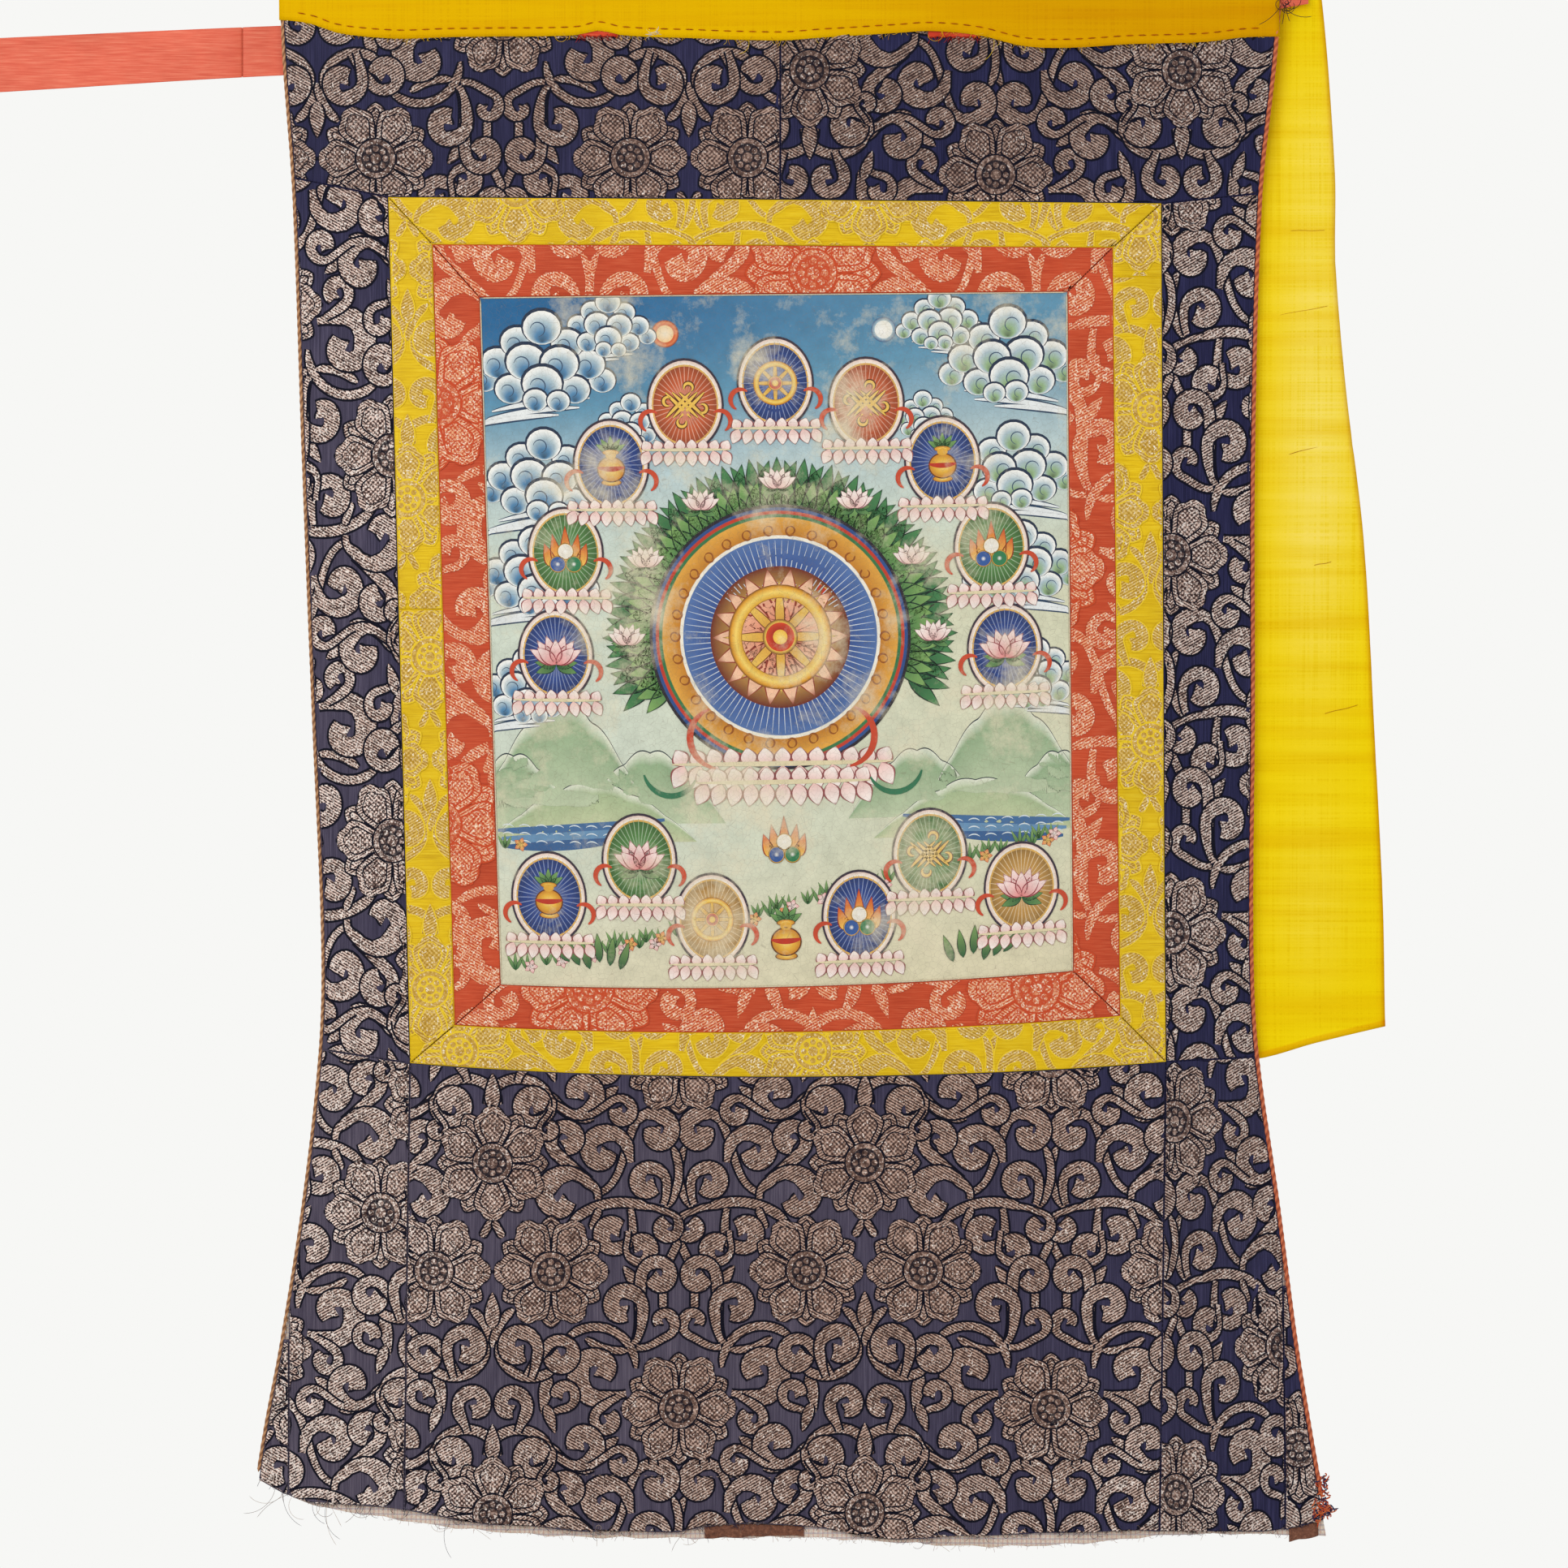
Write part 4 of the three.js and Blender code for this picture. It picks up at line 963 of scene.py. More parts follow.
def chart_flower(x, z, heading):
    """A lotus: pointed tips between six petals, each petal with a hatched rim and a latticed heart, round a
    ringed eye with eight dots."""
    grids = []
    turn = np.radians(heading + 60 * np.arange(6))
    petal = lambda more: lambda r: petal_width(r, (16, 8, 29, 14.8), (35.5, 10.2, 16), (43.4, 7.4, 9)) + more
    heart = lambda more: lambda r: petal_width(r, (19, 4.5, 27, 8.6), (33, 8.4, 10.6), (39.4, 5, 5)) + more
    arch = lambda top, wide: lambda r: wide * (1 - np.clip((r - 38) / (top - 38), 0, 1) ** 2) ** 0.75
    tips = (((30, 50.6), arch(50.6, 10.2), 0, 0), ((30, 49), arch(49, 8.8), 1, 0),
            ((30, 45.4), arch(45.4, 4.6), 0, 0), ((30, 44), arch(44, 3.4), 1, 0))
    petals = (((15, 51.8), petal(1.5), 0, 0), ((15, 50.2), petal(0), 1, 0),
              ((18, 44.9), heart(1.3), 0, 0), ((19, 43.8), heart(0), 1, 1))
    for angle, lift, parts in ((turn + np.pi / 6, 0.66, tips), (turn, 0.73, petals)):
        for layer, ((low, high), width, metal, lattice) in enumerate(parts):
            radius = lerp(low, high, np.sin(np.linspace(0, np.pi / 2, 15)))
            axis = np.array((x, z)) + radius[None, :, None] * towards(angle)[:, None]
            reach = np.maximum(width(radius), 0)[None, :, None]
            for lean in (1, -1):
                edge = axis + lean * reach * towards(angle + np.pi / 2)[:, None]
                grids.append(weave_strip(axis, edge, (0, 0.65, 1), lift + 0.02 * layer, metal, lattice, lean))
    around = np.linspace(0, 2 * np.pi, 25)
    rings = ((18.4, 0, 0.8, 0), (17.2, 12, 0.84, 1), (12.9, 0, 0.88, 0.12), (4.6, 0, 0.92, 1))
    for outer, inner, lift, metal in rings:
        edges = [np.array((x, z)) + radius * towards(around)[None] for radius in (inner, outer)]
        grids.append(weave_strip(*edges, (0, 0.5, 1), lift, metal, 0, 0))
    dots = np.array((x, z)) + 8.6 * towards(np.radians(45 * np.arange(8)))
    rim = dots[:, None] + 2.7 * towards(np.linspace(0, 2 * np.pi, 9))[None]
    grids.append(weave_strip(np.broadcast_to(dots[:, None], rim.shape), rim, (0, 1), 0.92, 1, 0, 0))
    return grids


def lay_scroll(name, edges, origin, grids, material, scale, front, sewn=(1, 1, 1, 1), shine=None, gone=None):
    """Lays repeats of a charted scroll over a cloth: the first flower at an origin, stretched by a scale
    across and down (upside down where that is negative), figures outside the cloth left out and those at its
    edges pressed onto them, all on the cloth's own surface. The last two arguments are functions of across
    and drop: how silvery the metal is, partly untarnished and partly painted sheen, and how much darker it
    is, partly tarnish and partly painted shade."""
    left, right, top, foot = edges[:4]
    s, t = np.meshgrid(np.linspace(0, 1, 9), np.linspace(0, 1, 9))
    across, drop = between(edges, s, t)
    low, high = np.array([across.min(), drop.min()]), np.array([across.max(), drop.max()])
    scale, upside = np.array(scale) / 1000, np.sign(scale[1])
    repeat = np.array(REPEAT) * np.abs(scale)
    start = np.array(origin) / 1000
    first, last = np.floor((low - start) / repeat) - 1, np.ceil((high - start) / repeat) + 1
    laid = []
    for column in np.arange(first[0], last[0] + 1):
        for row in np.arange(first[1], last[1] + 1):
            for grid in grids:
                place = start + (column, row) * repeat + grid[..., :2] * scale
                inside = (place.max((1, 2)) > low).all(1) & (place.min((1, 2)) < high).all(1)
                if inside.any():
                    laid.append(np.concatenate([place, grid[..., 2:] * (1e-3, 1, 1, upside)], -1)[inside])
    points, faces = merge(laid)
    margin = 0.0009
    for _ in range(3):
        points[:, 0] = np.clip(points[:, 0], left(points[:, 1]) + margin, right(points[:, 1]) - margin)
        points[:, 1] = np.clip(points[:, 1], top(points[:, 0]) + margin, foot(points[:, 0]) - margin)
    points, faces = face_viewer(points, faces)
    across, drop, height, metal, lattice, lean = points.T
    height = height * lerp(0.6, 1, smooth(drop, 0.085, 0.105))
    depth = hung_depth(across, drop) - front - height + seam_dip(edges, across, drop, sewn)
    thread = (0.5 * across * lean + 0.87 * drop) * np.abs(lean)
    values = dict(metal=metal, lattice=lattice, thread=thread)
    if shine is not None:
        values["shine"] = shine(across, drop)
        # Darker metal, partly tarnish and partly painted shade, takes more of the dark line colour.
        values["metal"] = metal * (1 - gone(across, drop))
    piece = new_piece(name, np.stack([across, depth, -drop], -1), faces, material, **values)
    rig.ride(piece, "root")
    return piece


def add_math(tree, how, *values, **settings):
    """A number worked out from others."""
    return add_node(tree, "Math", dict(enumerate(values)), operation=how, **settings).outputs[0]


def add_between(tree, factor, first, second):
    """The number a factor of the way from the first to the second."""
    return add_node(tree, "Mix", {0: factor, 2: first, 3: second}, data_type="FLOAT").outputs[0]


def add_range(tree, value, *ends):
    """A number moved from one range, given by its ends, to another."""
    names = ("From Min", "From Max", "To Min", "To Max")
    return add_node(tree, "MapRange", {"Value": value, **dict(zip(names, ends))}).outputs[0]


def new_thread(name, dark, base, bright, line, gleam, pitch, glint):
    """Figure thread: hatched aslant by the sine of the thread value, crossed where latticed, silvery in
    patches where shine says, partly untarnished metal and partly painted sheen, with small painted glints,
    and with plain lines where metal is zero."""
    material, tree, shader, place = new_material(name, 0.5, Specular_IOR_Level=0.1)
    silver_and_sheen_share = add_value(tree, "shine")
    turn = 2 * np.pi / pitch
    hatch = add_math(tree, "SINE", add_math(tree, "MULTIPLY", add_value(tree, "thread"), turn))
    slants = []
    for side in (-1, 1):
        inputs = {0: place, 1: (turn * 0.55, 0, side * turn * 0.55)}
        slants.append(add_node(tree, "VectorMath", inputs, operation="DOT_PRODUCT").outputs["Value"])
    crossed = add_between(tree, 0.5, *(add_math(tree, "SINE", slant) for slant in slants))
    ribs = add_between(tree, add_value(tree, "lattice"), hatch, crossed)
    lit = add_range(tree, ribs, -1.0, 1.0, -0.1, 0.5)
    uneven = add_math(tree, "MULTIPLY_ADD", add_noise(tree, place, 105.0), 0.45, -0.225)
    woven = add_math(tree, "ADD", lit, uneven)
    both = add_math(tree, "ADD", woven, add_noise(tree, place, 420.0))
    tarnished = add_ramp(tree, both, (0.42, dark), (0.7, base), (0.98, bright))
    # The silvery ramp: brighter, harsher metal, partly untarnished and partly painted sheen, mixed in where shine
    # says.
    silvery = add_ramp(tree, both, (0.44, (38, 26, 27)), (0.72, (100, 77, 72)), (0.98, (250, 224, 212)))
    worn = add_range(tree, add_noise(tree, place, 22.0, 3.0), 0.35, 0.65, 0.55, 1.3)
    clean = add_math(tree, "MULTIPLY", worn, silver_and_sheen_share, use_clamp=True)
    shade = add_mix(tree, clean, tarnished, silvery)
    # Painted glints: near-white spots from fine noise, more where the metal is silvery with painted sheen.
    spark = add_math(tree, "MULTIPLY_ADD", silver_and_sheen_share, 0.11, add_noise(tree, place, 620.0, 1.0))
    spark_part = add_ramp(tree, spark, (glint, 0), (glint + 0.12, 0.9))
    shade = add_mix(tree, spark_part, shade, dye(*gleam))
    shade = add_mix(tree, add_value(tree, "metal"), dye(*line), shade)
    dress(tree, shader, shade, both, 0.5, 0.0005)
    return material


def always(value):
    """One value all along an edge."""
    return lambda other: other * 0 + value


yellow_edges = frame_edges(YELLOW_FRAME)
yellow_silk = new_silk("yellow_silk", (214, 172, 6), (233, 194, 10), (240, 207, 40), 0.45)
gold_thread = new_thread("gold_thread", (178, 136, 40), (202, 161, 72), (230, 197, 114), (240, 205, 46),
                         (255, 248, 228), 0.0023, 0.60)
red_thread = new_thread("red_thread", (196, 72, 40), (207, 102, 66), (238, 174, 132), (203, 78, 44),
                        (255, 236, 212), 0.0023, 0.56)
band_scroll = chart_scroll(1.2)
plain_scroll = chart_scroll(0.0)
for piece, edges in red_bands.items():
    name = piece.name.replace("cloth", "figure")
    figure = lay_scroll(name, edges, (30, 300), plain_scroll, red_thread, (1.2, 1.2), 0.001)
    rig.slot(figure, "red_silk")
    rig.sheet(piece, held="stretched", rests_on=["lining"], with_pieces=[figure], **cut_size(edges))
for side, edges in band_edges(yellow_edges, red_edges).items():
    strips = {side: edges}
    if side in YELLOW_JOINS:
        tl, tr, bl, br = yellow_edges[4]
        ends = (tl, bl) if side == "left" else (tr, br)
        join = lerp(*ends, YELLOW_JOINS[side])[1]
        level = always(join)
        strips = {side + "_upper": edges[:3] + (level,), side + "_lower": edges[:2] + (level,) + edges[3:]}
    for name, part in strips.items():
        piece = new_cloth("yellow_cloth_" + name, "yellow_band_" + name, part, (-0.0012, 0.0005), yellow_silk,
                          0.006)
        figure = lay_scroll("yellow_figure_" + name, part, YELLOW_FLOWERS[name], band_scroll, gold_thread,
                            (0.95, 0.95), 0.0012)
        for each in (piece, figure):
            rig.slot(each, "yellow_silk")
        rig.sheet(piece, held="stretched", rests_on=["lining"], with_pieces=[figure], **cut_size(part))

# Brocade mount: nine panels of navy satin silk brocaded with tarnished metal-thread lotus scrolls, cut from
# two loom widths and sewn round the yellow band. The cut hem at the foot is torn and frayed.
SIDE_EDGES = ((0, -445, 449), (100, -442.5, 443), (230, -433.5, 429.5), (460, -426, 424), (700, -418, 425.5),
              (900, -410.5, 425), (990, -412.5, 429), (1130, -427.5, 447.5), (1250, -446, 462),
              (1330, -461, 474), (1430, -476, 491))  # drop, left, right
HEMS = ((-480, 1364, 1366), (-420, 1392.5, 1394), (-350, 1395.5, 1405.5), (-280, 1407, 1414.5),
        (-180, 1415, 1421.5), (-100, 1417.5, 1423), (-60, 1412, 1423.5), (20, 1412, 1423),
        (90, 1423.5, 1426.5), (170, 1421, 1430.5), (260, 1417.5, 1428), (346, 1416, 1419.8),
        (430, 1416, 1419), (490, 1405, 1420.5))  # across, brocade, lining
CORD_INSET = 0.00424  # from the mount's outer edge in to its cloth
MOUNT_TOP = 0.005  # drop of the cloth's upper edge
TOP_SEAM = 0.001  # across, between the two top panels
STRIP_SEAMS = (0.215, 0.229, 0.990, 0.997)  # drops at the edges: top left and right, bottom left and right
LOWER_FEET = (-0.333, 0.337)  # across at the hem, where the lower centre panel's seams end
GUSSETS = (-0.437, 0.4485, 1.236, 1.188)  # left and right seam, left and right apex
GUSSET_TIP = 0.012  # how far below its apex a gusset's cloth begins


def curve(rows, column=1):
    """A smooth curve through a table in millimetres: cubic steps whose slopes run across the neighbouring
    rows, and straight lines beyond its ends."""
    at, value = (np.array(rows, float) / 1000)[:, [0, column]].T
    low, high = np.maximum(np.arange(len(at)) - 1, 0), np.minimum(np.arange(len(at)) + 1, len(at) - 1)
    slope = (value[high] - value[low]) / (at[high] - at[low])

    def follow(where):
        where = np.asarray(where, float)
        i = np.clip(np.searchsorted(at, where) - 1, 0, len(at) - 2)
        span = at[i + 1] - at[i]
        t = (where - at[i]) / span
        u = np.clip(t, 0, 1)
        step = lerp(value[i], value[i + 1], u * u * (3 - 2 * u))
        step = step + span * (u * (1 - u) ** 2 * slope[i] - u * u * (1 - u) * slope[i + 1])
        return step + span * (np.minimum(t, 0) * slope[i] + np.maximum(t - 1, 0) * slope[i + 1])

    return follow


left_edge, right_edge = curve(SIDE_EDGES, 1), curve(SIDE_EDGES, 2)
cloth_left = lambda drop: left_edge(drop) + CORD_INSET
cloth_right = lambda drop: right_edge(drop) - CORD_INSET
whole_hem, lining_hem = curve(HEMS, 1), curve(HEMS, 2)


def torn_hem(across):
    """The brocade's torn foot: the smooth hem, eaten away in uneven nicks by two products of sines."""
    nick = np.abs(np.sin(across * 310)) * np.sin(across * 71 + 1)
    nick = nick + np.sin(across * 743) * np.sin(across * 29)
    return whole_hem(across) - 0.0008 + 0.0009 * nick


tl, tr, bl, br = yellow_edges[4]
at_edge = lambda edge, drop: np.array((float(edge(drop)), drop))
top_left_seam = line_drop(at_edge(cloth_left, STRIP_SEAMS[0]), tl)
top_right_seam = line_drop(tr, at_edge(cloth_right, STRIP_SEAMS[1]))
foot_left_seam = line_drop(at_edge(cloth_left, STRIP_SEAMS[2]), bl)
foot_right_seam = line_drop(br, at_edge(cloth_right, STRIP_SEAMS[3]))
yellow_left, yellow_right, yellow_top, yellow_foot = yellow_edges[:4]
seam_left = line_across(bl, (LOWER_FEET[0], float(whole_hem(LOWER_FEET[0]))))
seam_right = line_across(br, (LOWER_FEET[1], float(whole_hem(LOWER_FEET[1]))))
top_left_foot = lambda across: np.where(across < tl[0], top_left_seam(across), yellow_top(across))
top_right_foot = lambda across: np.where(across > tr[0], top_right_seam(across), yellow_top(across))
inner_left = lambda drop: np.maximum(cloth_left(drop), GUSSETS[0])
inner_right = lambda drop: np.minimum(cloth_right(drop), GUSSETS[1])
mount_top, centre_seam = always(MOUNT_TOP), always(TOP_SEAM)
gusset_seam_left, gusset_seam_right, apex_left, apex_right = (
    always(value) for value in np.add(GUSSETS, (0, 0, GUSSET_TIP, GUSSET_TIP)))
ALL_SEWN, OPEN_TOP, OPEN_FOOT, OPEN_ENDS = (1, 1, 1, 1), (1, 1, 0, 1), (1, 1, 1, 0), (1, 1, 0, 0)
PANELS = {  # the four edges, the first flower's place, the scroll's scale, and which edges are sewn
    "top_left": ((cloth_left, centre_seam, mount_top, top_left_foot), (-80, 294), (1, -1), OPEN_TOP),
    "top_right": ((centre_seam, cloth_right, mount_top, top_right_foot), (357, 120), (1, -1), OPEN_TOP),
    "strip_left": ((cloth_left, yellow_left, top_left_seam, foot_left_seam), (-292, 567), (1, -1.1),
                   ALL_SEWN),
    "strip_right": ((yellow_right, cloth_right, top_right_seam, foot_right_seam), (513.5, 314), (1, 1.08),
                    ALL_SEWN),
    "lower_centre": ((seam_left, seam_right, yellow_foot, torn_hem), (76, 1089), (1, 1), OPEN_FOOT),
    "lower_left": ((inner_left, seam_left, foot_left_seam, torn_hem), (-302, 1038), (1, 1), OPEN_FOOT),
    "lower_right": ((seam_right, inner_right, foot_right_seam, torn_hem), (492, 822), (0.85, 1.06),
                    OPEN_FOOT),
    "gusset_left": ((cloth_left, gusset_seam_left, apex_left, torn_hem), (-470, 1200), (1, 1), OPEN_ENDS),
    "gusset_right": ((gusset_seam_right, cloth_right, apex_right, torn_hem), (296, 1123), (1, 1), OPEN_ENDS),
}


def faded(across, drop):
    """Navy greyed by fading and by painted sheen: most below the painting, less down the left strip."""
    middle = bell(across + 0.11, 0.27) * smooth(drop, 0.93, 1.1) * (1 - 0.3 * smooth(drop, 1.25, 1.42))
    strip = smooth(-across, 0.28, 0.4) * smooth(drop, 0.2, 0.45)
    return np.clip(0.95 * middle + 0.6 * strip + 0.1 * smooth(-across, -0.1, 0.1), 0, 1)


def silver_and_sheen(across, drop):
    """How silvery the metal thread is, partly untarnished and partly painted sheen: most at both sides, some
    at the foot, little in the middle."""
    side = smooth(np.abs(across - 0.02), 0.18, 0.42) * lerp(0.5, 1, smooth(drop, 0.2, 0.3))
    side = side * (1 - 0.5 * smooth(across, 0.3, 0.36) * smooth(drop, 0.95, 1.05))
    return np.clip(0.72 * side + 0.25 * smooth(drop, 1.25, 1.42) + 0.06, 0, 1)


def tarnish_and_shade(across, drop):
    """How much darker the metal thread is, partly tarnish and partly painted shade: most in the top right
    panel, less in the top left one and down the right side."""
    top = 1 - smooth(drop, 0.215, 0.24)
    right = smooth(across, -0.01, 0.01) * top
    return 0.26 * right + 0.17 * (top - right) + 0.15 * smooth(across, 0.335, 0.345) * (1 - right)


brocade_silk, tree, shader, place = new_material("brocade_silk", 0.5, Specular_IOR_Level=0.12)
warp = add_noise(tree, add_stretch(tree, place, 900.0, 50.0, 22.0), 1.0, 4.0, 0.6)
navy = add_ramp(tree, warp, (0.3, (21, 22, 52)), (0.55, (38, 38, 75)), (0.8, (61, 61, 102)))
# The grey ramp: the navy after fading and brightening by painted sheen, mixed in by how grey it turns.
grey = add_ramp(tree, warp, (0.3, (64, 58, 76)), (0.55, (88, 81, 98)), (0.8, (117, 109, 124)))
streak = add_noise(tree, add_stretch(tree, place, 55.0, 10.0, 4.0), 1.0, 3.0)
tone = add_ramp(tree, streak, (0.3, (0.76, 0.76, 0.8, 1)), (0.7, (1.14, 1.13, 1.1, 1)))
shade = add_mix(tree, add_value(tree, "faded"), navy, grey)
dress(tree, shader, add_mix(tree, 1.0, shade, tone, "MULTIPLY"), warp, 0.3, 0.0004)
metal_thread = new_thread("metal_thread", (62, 44, 40), (113, 87, 77), (194, 162, 146), (8, 8, 26),
                          (252, 240, 232), 0.0023, 0.618)
mount_scroll = chart_scroll(1.8)
for name, (edges, origin, scale, sewn) in PANELS.items():
    piece = new_cloth("brocade_cloth_" + name, "brocade_" + name, edges, (-0.0008, 0.0006), brocade_silk,
                      0.008, sewn, faded=faded)
    figure = lay_scroll("brocade_figure_" + name, edges, origin, mount_scroll, metal_thread, scale, 0.0008,
                        sewn, silver_and_sheen, tarnish_and_shade)
    for each in (piece, figure):
        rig.slot(each, "brocade")
    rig.sheet(piece, held="hung", rests_on=["lining"], with_pieces=[figure], **cut_size(edges))

# Lining: thin plain-woven cotton with a faint pink and blue check, sewn behind the whole mount. It shows
# where the brocade's hem is torn away.
CHECK = 0.0042
lining_cotton, tree, shader, place = new_material("lining_cotton", 0.9)
along = add_node(tree, "SeparateXYZ", {0: place})
weave = add_noise(tree, place, 700.0)
shade = add_ramp(tree, weave, (0.3, (206, 188, 172)), (0.7, (240, 228, 216)))
for axis, colour in (("X", dye(206, 150, 136)), ("Z", dye(150, 150, 176))):
    wave = add_math(tree, "SINE", add_math(tree, "MULTIPLY", along.outputs[axis], 2 * np.pi / CHECK))
    shade = add_mix(tree, add_ramp(tree, wave, (0.3, 0), (0.9, 0.5)), shade, colour)
patch = add_ramp(tree, add_noise(tree, place, 9.0, 5.0), (0.3, (0.88, 0.85, 0.8, 1)), (0.65, 1))
dress(tree, shader, add_mix(tree, 1.0, shade, patch, "MULTIPLY"), weave, 0.4, 0.0005)


def frayed_hem(across):
    """The lining's lower edge: its smooth hem, worn uneven by two sines."""
    return lining_hem(across) + 0.0012 * np.sin(across * 190) * np.sin(across * 47 + 2) - 0.0008


lining_edges = (cloth_left, cloth_right, mount_top, frayed_hem)
lining = new_cloth("lining_cloth", "lining", lining_edges, (0.00165, 0.00225), lining_cotton, 0.014,
                   OPEN_FOOT)
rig.slot(lining, "lining_cotton")
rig.sheet(lining, held="hung", rests_on=["veil"], **cut_size(lining_edges))

# Hem facing: two scraps of worn brown cotton that once bound the foot. One is left in its middle and one at
# its right corner.
facing_cotton, tree, shader, place = new_material("facing_cotton", 0.9)
fibre = add_noise(tree, place, 320.0, 5.0, 0.7)
shade = add_ramp(tree, fibre, (0.3, (78, 44, 32)), (0.55, (122, 76, 56)), (0.8, (172, 126, 100)))
dress(tree, shader, shade, fibre, 0.6, 0.0008)


def facing_foot(fall):
    """Drop against across of a scrap's worn foot: a fall below the hem, uneven by two sines."""
    worn = lambda across: 0.0016 * np.abs(np.sin(across * 130)) * np.sin(across * 37)
    return lambda across: whole_hem(across) + fall - worn(across)


facing_top = lambda across: torn_hem(across) + 0.0005
for name, start, end, fall in (("centre", -0.066, 0.022, 0.0095), ("corner", 0.452, 0.478, 0.011)):
    facing_edges = (always(start), always(end), facing_top, facing_foot(fall))
    facing = new_cloth("facing_" + name, "hem_facing_" + name, facing_edges, (-0.0001, 0.0008), facing_cotton,
                       0.003, OPEN_FOOT)
    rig.slot(facing, "facing_cotton")
    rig.sheet(facing, held="hung", rests_on=["lining"], **cut_size(facing_edges))

# Piping: a two-ply orange-red cord sewn down both sides, brighter on the right, where it is less worn.
CORD_ROWS, CORD_COLUMNS, CORD_TWIST = 900, 10, 0.0075


def tube_faces(count, rows, columns):
    """Corner numbers of closed-ended tubes: rings joined row to row, with the end rings drawn to a point."""
    number = np.arange(count * rows * columns).reshape(count, rows, columns)
    beside = np.roll(number, -1, 2)
    return np.stack([number[:, :-1], number[:, 1:], beside[:, 1:], beside[:, :-1]], -1).reshape(-1, 4)


def tubes(paths, radius, columns):
    """Rings of points round each path: two steps square to its direction, each a radius long. The radius is
    a number or an array over count, rows and columns; ends come to a point where it is zero."""
    along = np.gradient(paths, axis=1)
    along /= np.linalg.norm(along, axis=-1, keepdims=True)
    beside = np.cross(along, (0, 1, 0))
    beside /= np.maximum(np.linalg.norm(beside, axis=-1, keepdims=True), 1e-9)
    out = np.cross(along, beside)
    angle = np.linspace(0, 2 * np.pi, columns, endpoint=False)
    ring = np.cos(angle)[:, None] * beside[:, :, None] + np.sin(angle)[:, None] * out[:, :, None]
    return paths[:, :, None] + ring * np.broadcast_to(radius, ring.shape[:3])[..., None]


for name, edge, inset, thick, hem_at, tones in (
        ("left", left_edge, 0.0027, 0.0014, 1.366, ((124, 82, 52), (178, 126, 84), (208, 162, 118))),
        ("right", right_edge, -0.0025, 0.0018, 1.386, ((150, 66, 34), (198, 96, 56), (220, 128, 84)))):
    cord, tree, shader, place = new_material("cord_" + name, 0.75)
    # Colour follows the ply twist with some noise: painted shade in the grooves between the plies and painted
    # highlight on their crowns, uneven with wear.
    worn = add_between(tree, 0.45, add_value(tree, "ply"), add_noise(tree, place, 260.0, 4.0))
    dress(tree, shader, add_ramp(tree, worn, *zip((0.25, 0.55, 0.85), tones)))
    end = min(float(whole_hem(edge(hem_at))), hem_at)
    drop = np.linspace(MOUNT_TOP, end, CORD_ROWS)
    across = edge(drop) + inset
    path = np.stack([across, hung_depth(across, drop) + 0.0006, -drop], -1)[None]
    angle = np.linspace(0, 2 * np.pi, CORD_COLUMNS, endpoint=False)
    twist = 0.5 + 0.5 * np.cos(2 * angle - 2 * np.pi * drop[:, None] / CORD_TWIST)
    row = np.arange(CORD_ROWS)
    closing = np.minimum(1, np.minimum(row, row[::-1]) / 2.0)[:, None]
    rings = tubes(path, ((thick + 0.0004 * twist) * closing)[None], CORD_COLUMNS)
    faces = tube_faces(1, CORD_ROWS, CORD_COLUMNS)
    piping = new_piece("piping_cord_" + name, rings.reshape(-1, 3), faces, cord, ply=twist.ravel())
    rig.slot(piping, "piping_cord")
    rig.replaces(piping, "piping_" + name)
    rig.ride(piping, "root")

# Veil: one length of thin slubby yellow silk over the hanging edge. Its raw front edge is tacked down with
# running stitches; behind it falls loose, with a rolled hem and an orange selvedge on the right.
VEIL_FRONT = ((-450, 75), (-428, 76.5), (-411, 80), (-395, 86), (-369, 90), (-338, 92), (-288, 90.5),
              (-205, 90), (-178, 89), (-160, 85), (-139, 89.5), (-73, 92), (1, 94), (45, 91), (105, 87.5),
              (132, 86), (176, 89.5), (216, 99), (252, 101), (315, 97.5), (374, 95.5), (413, 91), (450, 90))
# Above, the veil's raw edge: across, drop. Below, its free side: drop, across; and its hem: across, drop.
VEIL_EDGES = ((0, 472), (60, 483), (210, 494), (290, 494.5), (400, 504), (535, 521), (700, 532), (860, 541),
              (970, 543), (1030, 545))
VEIL_HEM = ((-420, 996), (-250, 1012), (-60, 1004), (150, 1018), (330, 1010), (430, 999), (480, 985),
            (552, 968))
VEIL_FOLDS = ((-300, 70, 7), (-150, 80, -2), (30, 75, 8), (210, 80, -2), (340, 60, 5),
              (490, 40, -2.5))  # across, reach, depth
VEIL_BULGES = ((-160, 60, 1.6), (155, 60, 1.6), (300, 90, 3))  # across, reach, height
VEIL_CREASES = ((300, 1.8), (352, -1.5), (461, 1.7), (560, 1.3), (655, -1.4), (742, 1.4),
                (850, -1.2))  # drop, depth
VEIL_WIDTH = 0.887
FOLD_DROP = 0.007  # where the fold over the top begins, before and behind
veil_front, veil_right, veil_hem = curve(VEIL_FRONT), curve(VEIL_EDGES), curve(VEIL_HEM)
veil_left = lambda drop: veil_right(drop) - VEIL_WIDTH


